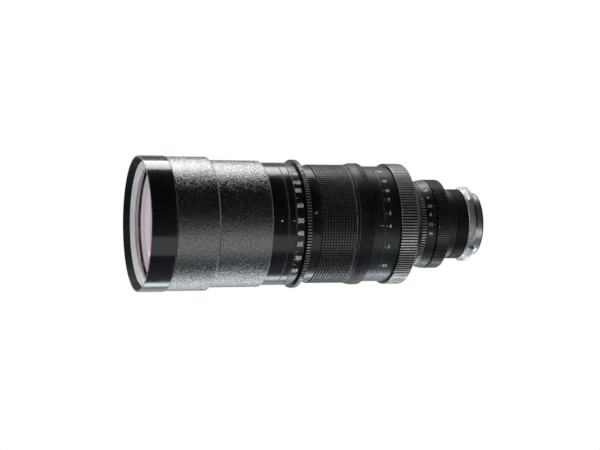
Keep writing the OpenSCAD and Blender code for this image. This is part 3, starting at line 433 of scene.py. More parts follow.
def satin_metal(name, colour, tint, roughness, metallic):
    """Dyed anodised alloy whose colour drifts a little, with fine turning lines"""
    f = Finish(name, Metallic=metallic, Specular_IOR_Level=0.5)
    drift = f.ramp(f.noise(28 * MM, 2), 0.35, 0.65)
    base = f.blend(drift, colour, tint)
    rubbed = f.maths("MULTIPLY", f.attribute("worn"), f.ramp(f.noise(1.8 * MM, 4, 0.6), 0.5, 0.66, 0.0, 0.25))
    f.set("Base Color", f.blend(rubbed, base, (0.42, 0.42, 0.43)))
    f.set("Roughness", f.ramp(f.noise(6 * MM, 4), 0.3, 0.7, roughness * 0.85, roughness * 1.2))
    f.bump(f.noise(0.35 * MM, 2, stretch=(3, 0.05, 0.05)), 0.012 * MM, 0.5)
    f.bump(f.noise(0.6 * MM, 3), 0.01 * MM, 0.4)
    return f.material


def topped_metal(name, low, high, roughness=0.34, metallic=0.6):
    """Ribs or pads: dyed dark, with painted shade deepening the grooves, and lighter on top, partly from
    rubbed wear and partly as a painted highlight
    """
    f = Finish(name, Metallic=metallic)
    # The top attribute lightens the tops as a painted highlight, partly rubbed wear; the low colour in the
    # grooves is painted shade
    height = f.ramp(f.attribute("top"), 0.72, 0.98)
    mottle = f.ramp(f.noise(1.6 * MM, 4, 0.6), 0.32, 0.68, 0.55, 1.0)
    f.set("Base Color", f.blend(f.maths("MULTIPLY", height, mottle), low, high))
    f.set("Roughness", f.ramp(f.noise(3 * MM, 4), 0.3, 0.7, roughness * 0.8, roughness * 1.25))
    f.bump(f.noise(0.3 * MM, 3), 0.012 * MM, 0.5)
    return f.material


def turned_steel(name, colour, roughness):
    """Bright turned steel with fine rings, light scratches and soft stains"""
    f = Finish(name, Metallic=1.0)
    stain = f.ramp(f.noise(5 * MM, 5, 0.65), 0.38, 0.66)
    f.set("Base Color", f.blend(stain, colour, shade(colour, 0.55)))
    scratch = f.ramp(f.noise(0.4 * MM, 2, stretch=(0.3, 2.2, 0.2)), 0.66, 0.72, 0.0, 0.22)
    f.set("Roughness", f.maths("ADD", f.ramp(stain, 0.0, 1.0, roughness, roughness * 1.5), scratch))
    f.bump(f.noise(0.22 * MM, 2, stretch=(3, 0.04, 0.04)), 0.01 * MM, 0.6)
    f.bump(f.noise(1.2 * MM, 3), 0.02 * MM, 0.25)
    return f.material


def matte_black(name, colour, roughness):
    """Dull black of the inner walls, with faint turning lines"""
    f = Finish(name)
    f.set("Base Color", f.blend(f.ramp(f.noise(5 * MM, 4), 0.3, 0.7), colour, shade(colour, 1.8)))
    f.set("Roughness", f.ramp(f.noise(3 * MM, 3), 0.3, 0.7, roughness * 0.85, roughness * 1.1))
    f.bump(f.noise(0.4 * MM, 2, stretch=(3, 0.2, 0.2)), 0.02 * MM, 0.5)
    return f.material


def pale_enamel(name, colour):
    """The light ring round the front glass, slightly mottled"""
    f = Finish(name, IOR=1.45)
    mottle = f.ramp(f.noise(1.3 * MM, 5, 0.75), 0.36, 0.66)
    f.set("Base Color", f.blend(mottle, colour, shade(colour, 0.66)))
    f.set("Roughness", f.ramp(f.noise(4 * MM, 3), 0.3, 0.7, 0.3, 0.5))
    f.bump(f.noise(0.8 * MM, 3), 0.03 * MM, 0.4)
    return f.material


def lens_glass(name, tint, film=0.0, film_colour=(1.0, 1.0, 1.0)):
    """Polished glass, with a coloured film where it is coated, and a trace of dust"""
    f = Finish(name, Transmission_Weight=1.0, IOR=1.6, Coat_Weight=film, Coat_IOR=1.9, Coat_Roughness=0.02,
               Coat_Tint=(*film_colour, 1.0))
    dust = f.ramp(f.noise(0.7 * MM, 3), 0.66, 0.8, 0.0, 0.12)
    f.set("Base Color", f.blend(dust, tint, (0.7, 0.7, 0.7)))
    f.set("Roughness", f.ramp(f.noise(11 * MM, 3), 0.4, 0.8, 0.0, 0.02))
    f.bump(f.noise(20 * MM, 1), 0.004 * MM, 0.2)
    return f.material


def mark_paint(name, colour):
    """Paint of the engraved figures, a little dirty"""
    f = Finish(name, IOR=1.4)
    f.set("Base Color", f.blend(f.ramp(f.noise(0.6 * MM, 3), 0.35, 0.75), colour, shade(colour, 0.6)))
    f.set("Roughness", f.ramp(f.noise(1 * MM, 2), 0.3, 0.7, 0.45, 0.65))
    f.bump(f.noise(0.3 * MM, 2), 0.01 * MM, 0.5)
    return f.material


FINISHES = {}


def finish(name):
    """The material of that name, made once"""
    if name not in FINISHES:
        colours = bpy.context.scene.lens_colours
        paint, metal, figures = (tuple(c) for c in (colours.paint, colours.mount, colours.figures))
        # groove: near-black painted shade for the grooves between ribs and pads
        groove = (0.004, 0.004, 0.005)
        makers = {
            "gloss_paint": (gloss_paint, paint, 0.15, 1.0, 0.1, 0.32),
            "lining_paint": (gloss_paint, paint, 0.5, 0.0, 0.0, 0.06),
            "barrel_paint": (gloss_paint, paint, 0.19, 0.8, 0.0, 0.32),
            "band_paint": (gloss_paint, paint, 0.24, 0.8, 0.0, 0.3),
            "satin_paint": (gloss_paint, paint, 0.4, 0.8, 0.0, 0.35),
            # ridge_paint wears to metal far more strongly, partly wear and partly a painted highlight on the
            # ridge's front edges
            "ridge_paint": (gloss_paint, paint, 0.4, 2.6, 0.0, 0.15),
            "wrinkle_paint": (wrinkle_paint, tuple(colours.wrinkle)),
            "pale_enamel": (pale_enamel, tuple(colours.retaining_ring)),
            "coated_glass": (lens_glass, (0.84, 0.77, 0.81), 0.4, tuple(colours.coating)),
            "clear_glass": (lens_glass, (0.95, 0.97, 0.97)),
            "rear_glass": (lens_glass, (0.86, 0.92, 0.97), 0.5, (0.55, 0.65, 0.95)),
            "inner_black": (matte_black, (0.012, 0.012, 0.013), 0.6),
            "bare_alloy": (turned_steel, (0.55, 0.55, 0.56), 0.34),
            "screw_steel": (turned_steel, (0.35, 0.35, 0.36), 0.3),
            "satin_barrel": (satin_metal, (0.022, 0.020, 0.026), (0.020, 0.026, 0.026), 0.34, 0.6),
            # These ribbed and padded finishes are lighter on top as a painted highlight, partly rubbed wear,
            # and darker in the grooves as painted shade
            "waffle_black": (topped_metal, groove, (0.11, 0.115, 0.12)),
            "gear_black": (topped_metal, groove, (0.40, 0.40, 0.41)),
            "ribbed_alloy": (topped_metal, (0.004, 0.004, 0.004), tuple(colours.ribs), 0.36, 0.75),
            "iris_knurl": (topped_metal, (0.004, 0.004, 0.004), (0.50, 0.49, 0.48)),
            "fine_ribs": (topped_metal, groove, (0.080, 0.092, 0.090)),
            "collar_ribs": (topped_metal, (0.003, 0.003, 0.004), (0.014, 0.015, 0.015), 0.5),
            "mount_steel": (turned_steel, shade(metal, 0.85), 0.44),
            "barrel_rim": (turned_steel, shade(metal, 0.8), 0.3),
            "roller_brass": (turned_steel, (0.62, 0.45, 0.20), 0.3),
            "blade_steel": (turned_steel, (0.05, 0.05, 0.055), 0.38),
            "white_fill": (mark_paint, figures),
            "grey_fill": (mark_paint, shade(figures, 0.22)),
        }
        maker, *values = makers[name]
        FINISHES[name] = maker(name, *values)
    return FINISHES[name]


def dress(node, look):
    """Gives a CAD node that keeps its shape one of the finishes"""
    mesh = frame["nodes"][node].data
    if not mesh.materials:
        mesh.materials.append(None)
    for i in range(len(mesh.materials)):
        mesh.materials[i] = finish(look)


# Settings

class LensColours(bpy.types.PropertyGroup):
    paint: bpy.props.FloatVectorProperty(
        name="Gloss paint", description="Colour of the gloss black paint",
        default=(0.006, 0.006, 0.008), subtype="COLOR", min=0, max=1)
    wrinkle: bpy.props.FloatVectorProperty(
        name="Wrinkle paint", description="Colour of the wrinkle paint on the hood",
        default=(0.006, 0.0062, 0.0066), subtype="COLOR", min=0, max=1)
    retaining_ring: bpy.props.FloatVectorProperty(
        name="Retaining ring", description="Colour of the ring round the front glass",
        default=(0.80, 0.80, 0.81), subtype="COLOR", min=0, max=1)
    coating: bpy.props.FloatVectorProperty(
        name="Lens coating", description="Tint of the film on the front glass",
        default=(0.88, 0.60, 0.80), subtype="COLOR", min=0, max=1)
    # The rib tops' colour is partly rubbed wear and partly a painted highlight
    ribs: bpy.props.FloatVectorProperty(
        name="Focus ribs", description="Colour of the rubbed tops of the focus ribs",
        default=(0.48, 0.46, 0.46), subtype="COLOR", min=0, max=1)
    figures: bpy.props.FloatVectorProperty(
        name="Figures", description="Colour of the paint in the figures",
        default=(0.80, 0.80, 0.78), subtype="COLOR", min=0, max=1)
    mount: bpy.props.FloatVectorProperty(
        name="Mount", description="Colour of the bright steel mount",
        default=(0.56, 0.56, 0.56), subtype="COLOR", min=0, max=1)


class LensSizes(bpy.types.PropertyGroup):
    edge: bpy.props.FloatProperty(
        name="Edge", description="Rounding of the front barrel's and ridge's edges", default=0.45 * MM,
        unit="LENGTH")
    rim_wall: bpy.props.FloatProperty(
        name="Rim", description="Wall of the front ring at its rim", default=1.2 * MM, unit="LENGTH")
    gear_depth: bpy.props.FloatProperty(
        name="Gear teeth", description="Height of the gear teeth", default=1.7 * MM, unit="LENGTH")
    pad_groove: bpy.props.FloatProperty(
        name="Waffle groove", description="Depth of the grooves between the waffle pads", default=0.8 * MM,
        unit="LENGTH")
    rib_depth: bpy.props.FloatProperty(
        name="Focus ribs", description="Height of the focus ribs", default=1.3 * MM, unit="LENGTH")
    zoom_figure: bpy.props.FloatProperty(
        name="Zoom figures", description="Height of the focal length figures", default=5.4 * MM,
        unit="LENGTH")
    focus_figure: bpy.props.FloatProperty(
        name="Distance figures", description="Height of the distance figures", default=3.9 * MM,
        unit="LENGTH")
    stop_figure: bpy.props.FloatProperty(
        name="Stop figures", description="Height of the stop figures", default=3.8 * MM, unit="LENGTH")
    camera_angle: bpy.props.FloatProperty(
        name="Camera angle", description="Turn of the camera towards the front of the lens",
        default=math.radians(17.3), subtype="ANGLE")
    camera_distance: bpy.props.FloatProperty(
        name="Camera distance", description="Distance from the camera to the lens axis", default=1.5836,
        unit="LENGTH")


def sizes():
    return bpy.context.scene.lens_sizes


# Pieces

class LENS_OT_front(bpy.types.Operator):
    """Makes the gloss front ring and the pale ring that holds the glass"""
    bl_idname = "lens.front"
    bl_label = "Front ring"

    def execute(self, context):
        x0, x1, r = span("front_bezel")
        ring0, ring1, ring_r = span("front_retaining_ring")
        flange_x = span("front_lens_cell")[0] + CELL_FLANGE
        rim_r, rim_end = r - sizes().rim_wall, x0 + 0.6 * MM
        seat, land, skin = ring_r + FIT, FRONT_TUBE_R + FIT, 0.3 * MM
        turned("front_bezel_finish", rounded([
            (x0, rim_r, 0.3 * MM), (x0, r, 0.5 * MM), (x1, r, 0.5 * MM), (x1, land, 0), (flange_x, land, 0),
            (flange_x, seat, 0), (ring0, seat, 0), (ring0, seat + skin, 0), (rim_end, rim_r + skin, 0),
            (rim_end, rim_r, 0)]),
            "barrel", "gloss_paint", ["front_bezel"])
        turned("front_bezel_lining", rounded([
            (rim_end, rim_r, 0), (rim_end, rim_r + skin, 0), (ring0, seat + skin, 0), (ring0, seat, 0)]),
            "barrel", "lining_paint")
        lip, lip_l = span("front_flint_lens")[2] - 0.5 * MM, 0.8 * MM
        turned("front_retaining_finish", rounded([
            (ring0, ring_r, 0.15 * MM), (ring1, ring_r, 0), (ring1, lip, 0),
            (ring1 - lip_l, lip, 0.12 * MM)]),
            "barrel", "pale_enamel", ["front_retaining_ring"])
        return {"FINISHED"}


class LENS_OT_hood(bpy.types.Operator):
    """Makes the two wrinkle-painted shells of the hood"""
    bl_idname = "lens.hood"
    bl_label = "Hood"

    def execute(self, context):
        for node, gap, front, rear in (("hood_front_shell", 0.0, 0.5 * MM, 1.8 * MM),
                                       ("hood_rear_shell", 0.45 * MM, 0.15 * MM, 1.0 * MM)):
            x0, x1, r = span(node)
            turned(node + "_finish", ring_outline(x0 + gap, x1, r, FRONT_TUBE_R + FIT, front, rear, 6),
                   "barrel", "wrinkle_paint", [node])
        return {"FINISHED"}


class LENS_OT_front_barrel(bpy.types.Operator):
    """Makes the gloss barrel behind the hood, its index ring and the index marks"""
    bl_idname = "lens.front_barrel"
    bl_label = "Front barrel"

    def execute(self, context):
        hood_end = span("hood_rear_shell")[1]
        index0, index1, r = span("index_ring")
        cell_start, cell_end = span("front_lens_cell")[0] + CELL_FLANGE, hood_end - 1.4 * MM
        x1, sleeve_end = index0 - SEAM, index1 - SEAM
        turned("front_barrel_finish", rounded([
            (cell_start, FRONT_CELL_R, 0), (cell_start, FRONT_TUBE_R, 0), (hood_end, FRONT_TUBE_R, 0),
            (hood_end, r, sizes().edge), (x1, r, FINE_EDGE), (x1, INDEX_SEAT_R, 0),
            (sleeve_end, INDEX_SEAT_R, 0), (sleeve_end, SLEEVE_R, 0), (cell_end, SLEEVE_R, 0),
            (cell_end, FRONT_CELL_R, 0)]),
            "barrel", "barrel_paint", ["front_barrel"])
        turned("index_ring_finish", ring_outline(index0, index1, r, INDEX_SEAT_R + FIT, FINE_EDGE, FINE_EDGE),
               "barrel", "barrel_paint", ["index_ring"])
        marks, angle = Marks(r), -2.5
        marks.dot(1.5 * MM, x1 - 6.0 * MM, angle)
        marks.line(2.6 * MM, 0.28 * MM, index1 - 1.9 * MM, angle)
        marks.finish("barrel_index", "barrel", "white_fill", "wrinkle_paint")
        return {"FINISHED"}


class LENS_OT_zoom_ring(bpy.types.Operator):
    """Makes the zoom ring with its shoulder, gear, waffle grip and focal length figures"""
    bl_idname = "lens.zoom_ring"
    bl_label = "Zoom ring"

    def execute(self, context):
        s = sizes()
        x0, x1, r = span("zoom_ring")
        gear0, gear1, _ = span("zoom_gear_ring")
        band_end = span("zoom_grip")[0] - SEAM
        seat = BAND_R - 2.0 * MM
        length, height = 2.3 * MM, 1.6 * MM
        shoulder = [(gear0 - length * (1 - math.sin(a)), r - height * (1 - math.cos(a)), 0)
                    for a in np.linspace(0, math.pi / 2, 8)]
        turned("zoom_ring_finish", rounded([
            (x0, TURNING_BORE_R, 0), (x0, r, FINE_EDGE), *shoulder, (gear0, BAND_R, 0),
            (band_end, BAND_R, 0.4 * MM), (band_end, seat, 0), (x1, seat, 0), (x1, TURNING_BORE_R, 0)]),
            "zoom_control", "band_paint", ["zoom_ring"])
        toothed_ring("zoom_gear_finish", "zoom_gear_ring", "zoom_control", "gear_black",
                     BAND_R + FIT, (0.3 * MM, 0.3 * MM), 135, s.gear_depth,
                     tooth((0.15, 0.0), (0.19, 0.10), (0.36, 1.0)), 3)
        self.grip(s.pad_groove, seat + FIT)
        self.figures(s.zoom_figure, x0, r, gear1)
        return {"FINISHED"}

    def grip(self, groove, bore):
        """Rows of square pads, cut by grooves along and round the sleeve"""
        x0, x1, r = span("zoom_grip")
        rows, columns, bevel = 12, 130, 0.18 * MM
        pitch, low = (x1 - x0) / rows, r - groove
        row = ((0.13, low), (0.17, r - bevel), (0.23, r), (0.5, r), (0.77, r), (0.83, r - bevel), (0.87, low))
        pads = [(x0 + (i + share) * pitch, radius, 0.0) for i in range(rows) for share, radius in row]
        outline = [(x0, bore, 0.0), (x0, low, 0.0), *pads, (x1, low, 0.0), (x1, bore, 0.0)]
        pattern = tooth((0.28, 0.0), (0.34, 0.2), (0.38, 1.0), root=False)
        turned("waffle_grip", outline, "zoom_control", "waffle_black", ["zoom_grip"],
               toothed_angles(columns, pattern), low)

    def figures(self, size, x0, r, gear_end):
        """Focal lengths and dashes on the number band, and the small mark on the gloss band"""
        marks = Marks(r)
        scale = (("120", -53.3), ("100", -41.0), ("80", -31.8), ("60", -16.6), ("50", -2.5), ("40", 9.1),
                 ("35", 19.4), ("30", 33.3), ("25", 49.0))
        marks.figures(scale, size, x0 + 3.4 * MM, 0.86)
        for angle in (-60.0, -47.0, -24.0, 26.5, 41.0, 69.6, 60.0):
            marks.line(1.5 * MM, 0.35 * MM, x0 + 1.5 * MM, angle)
        marks.dot(0.9 * MM, x0 + 3.6 * MM, 36.6)
        marks.finish("zoom_figures", "zoom_control", "white_fill", "gloss_black")
        tick = Marks(BAND_R)
        tick.line(1.9 * MM, 0.7 * MM, gear_end + 4.9 * MM, -10.2)
        tick.line(0.7 * MM, 1.7 * MM, gear_end + 5.5 * MM, -10.6)
        tick.finish("band_mark", "zoom_control", "white_fill", "gloss_black")


class LENS_OT_ridge(bpy.types.Operator):
    """Makes the fixed ridge ring and the middle barrel"""
    bl_idname = "lens.ridge"
    bl_label = "Ridge ring"

    def execute(self, context):
        x0, x1, r = span("ridge_ring")
        front, notch = r - 1.4 * MM, 0.3 * MM
        step, slope_end, pocket_start = x0 + 3.4 * MM, x0 + 8.9 * MM, x1 - 8 * MM
        outline = rounded([
            (x0, GUIDE_SEAT_R, 0), (x0, front, 0.45 * MM), (step - notch, front, 0.1 * MM),
            (step, front - notch, 0), (step + notch, front, 0.15 * MM), (slope_end, r, 0.8 * MM),
            (x1, r, sizes().edge), (x1, RIDGE_SEAT_R, 0), (pocket_start, RIDGE_SEAT_R, 0),
            (pocket_start, SLEEVE_R, 0), (x1, SLEEVE_R, 0), (x1, GUIDE_SEAT_R, 0)])
        # Only the edges in front of the step keep their wear to light metal, partly real wear and partly a
        # painted highlight along those edges
        front_wear_and_highlight = [(x, radius, worn if x < step else 0.0) for x, radius, worn in outline]
        turned("ridge_ring_finish", front_wear_and_highlight, "barrel", "ridge_paint", ["ridge_ring"])
        seam, middle_end, middle_r = span("middle_barrel")
        bore, seat = SLEEVE_R + FIT, RIDGE_SEAT_R - FIT
        turned("middle_barrel_finish", rounded([
            (seam, bore, 0), (seam, seat, 0), (x1, seat, 0), (x1, middle_r, 0.2 * MM),
            (middle_end, middle_r, 0.3 * MM), (middle_end, bore, 0)]),
            "barrel", "satin_barrel", ["middle_barrel"])
        marks = Marks(r)
        marks.line(2.2 * MM, 0.35 * MM, x1 - 2.2 * MM, 14.0)
        marks.finish("ridge_index", "barrel", "grey_fill", "gloss_black")
        tick = Marks(middle_r)
        tick.line(3.0 * MM, 0.35 * MM, middle_end - 2.1 * MM, 2.0)
        tick.finish("distance_index", "barrel", "white_fill", "satin_barrel")
        return {"FINISHED"}


class LENS_OT_focus_ring(bpy.types.Operator):
    """Makes the focus ring with its ribs and distance figures"""
    bl_idname = "lens.focus_ring"
    bl_label = "Focus ring"

    def execute(self, context):
        s = sizes()
        x0, x1, r = span("focus_scale_ring")
        scale_end = span("focus_grip_ring")[0] - SEAM
        turned("focus_scale_finish", rounded([
            (x0, TURNING_BORE_R, 0), (x0, r, 0.3 * MM), (scale_end, r, 0.1 * MM),
            (scale_end, FOCUS_SEAT_R, 0), (x1, FOCUS_SEAT_R, 0), (x1, TURNING_BORE_R, 0)]),
            "focus_control", "satin_barrel", ["focus_scale_ring"])
        toothed_ring("focus_ribs", "focus_grip_ring", "focus_control", "ribbed_alloy",
                     FOCUS_SEAT_R + FIT, (0.7 * MM, 1.0 * MM), 133, s.rib_depth,
                     tooth((0.22, 0.0), (0.27, 0.12), (0.33, 1.0)), 5)
        marks, x = Marks(r), x0 + 4.9 * MM
        scale = (("25", -63.8), ("15", -46.3), ("10", -33.9), ("7", -23.8), ("5", -10.0), ("4", 2.5),
                 ("3", 23.2), ("2.5", 45.4), ("2", 60.0))
        marks.figures(scale, s.focus_figure, x, 0.85)
        for _, angle in scale:
            marks.dot(0.8 * MM, x - 3.2 * MM, angle)
        marks.finish("distance_figures", "focus_control", "white_fill", "satin_barrel")
        lines = Marks(r)
        for start, end in ((-62, -47.5), (-45, -35), (4, 22), (25, 43)):
            lines.arc(0.2 * MM, x - 4.4 * MM, start, end)
        lines.finish("distance_lines", "focus_control", "grey_fill", "satin_barrel")
        return {"FINISHED"}


class LENS_OT_iris_ring(bpy.types.Operator):
    """Makes the rear cone, the iris ring with its stop figures and the small ribbed ring"""
    bl_idname = "lens.iris_ring"
    bl_label = "Iris ring"

    def execute(self, context):
        x0, x1, r = span("rear_body")
        knurl0, scale_end, scale_r = span("iris_ring")
        cone_end, cone_r = knurl0 - SEAM, 37.0 * MM
        shoulder, pocket, inner_r = x0 + 2.3 * MM, knurl0 + 2.5 * MM, 26.0 * MM
        turned("rear_cone_finish", rounded([
            (x0, GUIDE_SEAT_R, 0), (x0, r, 0.5 * MM), (cone_end, cone_r, 0.25 * MM),
            (cone_end, IRIS_SEAT_R, 0), (x1, IRIS_SEAT_R, 0), (x1, TUBE_SEAT_R, 0), (pocket, TUBE_SEAT_R, 0),
            (pocket, inner_r, 0), (shoulder, inner_r, 0), (shoulder, GUIDE_SEAT_R, 0)]),
            "barrel", "satin_paint", ["rear_body"])
        knurl_r, knurl_depth, bore = 37.1 * MM, 0.7 * MM, IRIS_SEAT_R + FIT
        knurl1 = knurl0 + 4.2 * MM
        turned("iris_knurl", ring_outline(knurl0, knurl1, knurl_r, bore, FINE_EDGE, 0.3 * MM, 3),
               "iris_control", "iris_knurl", ["iris_ring"],
               toothed_angles(96, tooth((0.16, 0.0), (0.22, 0.15), (0.34, 1.0))), knurl_r - knurl_depth)
        scale1, front_r = scale_end - 0.45 * MM, 36.8 * MM
        band = rounded([(knurl1, bore, 0), (knurl1, front_r, 0.15 * MM), (scale1, scale_r, 0.3 * MM),
                        (scale1, bore, 0)])
        turned("stop_scale", [(x, radius, 0.0) for x, radius, _ in band], "iris_control", "satin_paint")
        toothed_ring("rear_grip_finish", "rear_grip_ring", "barrel", "fine_ribs", bore,
                     (0.6 * MM, 0.8 * MM), 120, 0.6 * MM, tooth((0.2, 0.0), (0.33, 1.0)), 5)
        self.figures(knurl1, front_r, (scale_r - front_r) / (scale1 - knurl1))
        grip0, _, grip_r = span("rear_grip_ring")
        index = Marks(grip_r)
        index.dot(0.9 * MM, grip0 + 1.5 * MM, 4.0)
        index.finish("stop_index", "barrel", "white_fill", "knurled_black")
        return {"FINISHED"}

    def figures(self, x0, front_r, slope):
        """Stops and their dots on the flared band"""
        marks = Marks(lambda x: front_r + slope * (x - x0))
        scale = (("2.8", -49.5), ("4", -36.4), ("5.6", -23.6), ("8", -11.9), ("11", 1.2), ("16", 12.9))
        marks.figures(scale, sizes().stop_figure, x0 + 3.4 * MM, 0.8)
        for _, angle in scale:
            marks.dot(0.55 * MM, x0 + 6.6 * MM, angle)
        marks.finish("stop_figures", "iris_control", "white_fill", "satin_barrel")


class LENS_OT_rear_tube(bpy.types.Operator):
    """Makes the rear tube and its knurled collar"""
    bl_idname = "lens.rear_tube"
    bl_label = "Rear tube"

    def execute(self, context):
        x0, x1, r = span("rear_tube")
        tube_end = span("rear_collar")[0] - SEAM
        shoulder = span("rear_grip_ring")[1] - SEAM
        bore, spigot, seat = 25.0 * MM, TUBE_SEAT_R - FIT, r - 1.1 * MM
        groove, half, depth = shoulder + 3.4 * MM, 0.2 * MM, 0.2 * MM
        turned("rear_tube_finish", rounded([
            (x0, bore, 0), (x0, spigot, 0), (shoulder, spigot, 0), (shoulder, r, 0.3 * MM),
            (groove - half, r, 0.05 * MM), (groove, r - depth, 0), (groove + half, r, 0.05 * MM),
            (tube_end, r, FINE_EDGE), (tube_end, seat, 0), (x1, seat, 0), (x1, bore, 0)]),
            "barrel", "satin_paint", ["rear_tube"])
        toothed_ring("rear_collar_finish", "rear_collar", "barrel", "collar_ribs",
                     seat + FIT, (0.4 * MM, 0.3 * MM), 100, 0.45 * MM, tooth((0.22, 0.0), (0.36, 1.0)))
        return {"FINISHED"}


class LENS_OT_mount(bpy.types.Operator):
    """Finishes the bayonet with its two lugs and the rear barrel, and makes the slotted mount screws"""
    bl_idname = "lens.mount"
    bl_label = "Mount"

    def execute(self, context):
        flange = span("mount_bayonet")[1]
        dress("mount_bayonet", "mount_steel")
        dress("rear_barrel", "barrel_rim")
        self.screws(flange - FIT)
        _, end, r = span("rear_barrel")
        # A dark strip on the rear barrel just behind the flange, round the near side: painted shadow where
        # the gap between the flange and the rear barrel is shaded
        band = Marks(r)
        band.arc(1.5 * MM, flange + 1.2 * MM, -36, 6)
        band.finish("painted_shadow_strip", "barrel", "inner_black", "inner_black")
        width, skin = 0.75 * MM, 0.03 * MM
        turned("rear_rim_edge", ring_outline(end - width, end - skin, r + skin, r - 0.6 * MM, 0, 0),
               "barrel", "inner_black")
        return {"FINISHED"}

    def screws(self, top):
        """Four slotted screws sunk in the lugs, each a shank, a head and the two halves beside its slot"""
        shank_r, head_r, half_slot = 0.6 * MM, 1.05 * MM, 0.2 * MM
        shank_end, head_end, slot_end = top - 11.95 * MM, top - 0.95 * MM, top - 0.5 * MM
        edge = math.asin(half_slot / head_r)
        work = bmesh.new()
        for place, turn in ((60, 20), (120, 75), (240, 130), (300, -15)):
            middle = around(0, SCREW_CIRCLE_R, math.radians(place))
            prism(work, arc_points(shank_r, 0, 2 * math.pi, 20)[:-1], shank_end, head_end + FIT, middle)
            prism(work, arc_points(head_r, 0, 2 * math.pi, 32)[:-1], head_end, slot_end, middle)
            for side in (math.radians(turn), math.radians(turn + 180)):
                half = arc_points(head_r, side + edge, side + math.pi - edge, 16)
                prism(work, half, slot_end - FIT, top, middle)
        mesh = bpy.data.meshes.new("mount_screw_finish")
        close_mesh(work, mesh)
        add_object("mount_screw_finish", mesh, "barrel", "screw_steel", ["mount_screws"])


class LENS_OT_glass(bpy.types.Operator):
    """Makes the polished lenses, each between two spherical surfaces"""
    bl_idname = "lens.glass"
    bl_label = "Glass"

    def execute(self, context):
        coatings = {"front_flint_lens": "coated_glass", "rear_singlet_lens": "rear_glass"}
        for node, body, front, rear in (
                ("front_flint_lens", "barrel", 360, -150), ("front_crown_lens", "barrel", 150, 250),
                ("front_singlet_lens", "barrel", 180, -600), ("variator_front_lens", "variator", -250, -120),
                ("variator_rear_lens", "variator", -130, 250), ("compensator_lens", "compensator", -140, 250),
                ("focus_front_lens", "focus_group", 160, 200), ("focus_rear_lens", "focus_group", 180, -200),
                ("rear_crown_lens", "barrel", 70, 90), ("rear_singlet_lens", "barrel", 80, -200)):
            look = coatings.get(node, "clear_glass")
            turned(node + "_finish", self.outline(node, front * MM, rear * MM), body, look, [node],
                   even_angles(SEGMENTS // 2))
        return {"FINISHED"}

    def outline(self, node, front, rear):
        """Outline of a lens from the axis to its rim and back, from the radii of curvature of its surfaces"""
        x0, x1, r = span(node)
        front_x, rear_x = x0 - min(0, bulge(front, r)), x1 + min(0, bulge(rear, r))
        steps = 24
        radii = [r * i / steps for i in range(steps + 1)]
        return ([(front_x + bulge(front, p), p, 0.0) for p in radii] +
                [(rear_x - bulge(rear, p), p, 0.0) for p in reversed(radii)])


class LENS_OT_inside(bpy.types.Operator):
    """Finishes the cells, the cam barrels, the rollers and the iris"""
    bl_idname = "lens.inside"
    bl_label = "Inside"

    def execute(self, context):
        looks = {
            "inner_black": ["front_spacer_ring", "front_lens_cell", "iris_base_plate", "iris_retainer",
                            "rear_lens_cell", "rear_spacer_ring", "rear_retaining_ring", "variator_cell",
                            "compensator_cell", "focus_cell"],
            "bare_alloy": ["guide_tube", "cam_barrel", "focus_sleeve", "iris_drive_ring"],
            "screw_steel": ["guide_tube_screws", "ring_stop_pins", "zoom_key_screws", "focus_key_screws",
                            "iris_drive_pin"],
            "roller_brass": ["variator_rollers", "compensator_rollers", "focus_rollers"],
            "blade_steel": ["iris_blade_%d" % i for i in range(1, 7)],
        }
        for look, nodes in looks.items():
            for node in nodes:
                dress(node, look)
        return {"FINISHED"}


# Studio

FLOOR_HEIGHT = -0.30
FLOOR_REACH = 0.78
SCREEN_REACH = 4.0
COOL = (0.86, 0.97, 1.04)


def white_to_the_eye(tree, plain, bright, share):
    """Mixes a plain shader with a white one for camera, glossy and transmission rays"""
    rays = add_node(tree, "LightPath", {}).outputs
    seen = rays["Is Camera Ray"]
    for ray in ("Is Glossy Ray", "Is Transmission Ray"):
        seen = add_node(tree, "Math", {0: seen, 1: rays[ray]}, operation="MAXIMUM").outputs[0]
    white = add_node(tree, "Math", {0: seen, 1: share}, operation="MULTIPLY").outputs[0]
    return add_node(tree, "MixShader", {0: white, 1: plain, 2: bright}).outputs[0]


def stage_sheet(name, points, faces):
    """A sheet that belongs to the stage, and the nodes of its material"""
    material = bpy.data.materials.new(name)
    material.use_nodes = True
    mesh = bpy.data.meshes.new(name)
    mesh.from_pydata(points, [], faces)
    mesh.materials.append(material)
    sheet = bpy.data.objects.new(name, mesh)
    bpy.context.scene.collection.objects.link(sheet)
    return sheet, material.node_tree


def lamp(name, place, target, width, height, power, colour=(1, 1, 1)):
    """A soft rectangular lamp whose length lies along the lens"""
    light = bpy.data.lights.new(name, "AREA")
    light.shape = "RECTANGLE"
    light.size, light.size_y = width, height
    light.energy = power
    light.color = colour
    holder = bpy.data.objects.new(name, light)
    back = (mathutils.Vector(place) - mathutils.Vector(target)).normalized()
    up = back.cross(mathutils.Vector((1, 0, 0))).normalized()
    matrix = mathutils.Matrix((up.cross(back), up, back)).transposed().to_4x4()
    matrix.translation = place
    holder.matrix_world = matrix
    holder.visible_camera = False
    bpy.context.scene.collection.objects.link(holder)


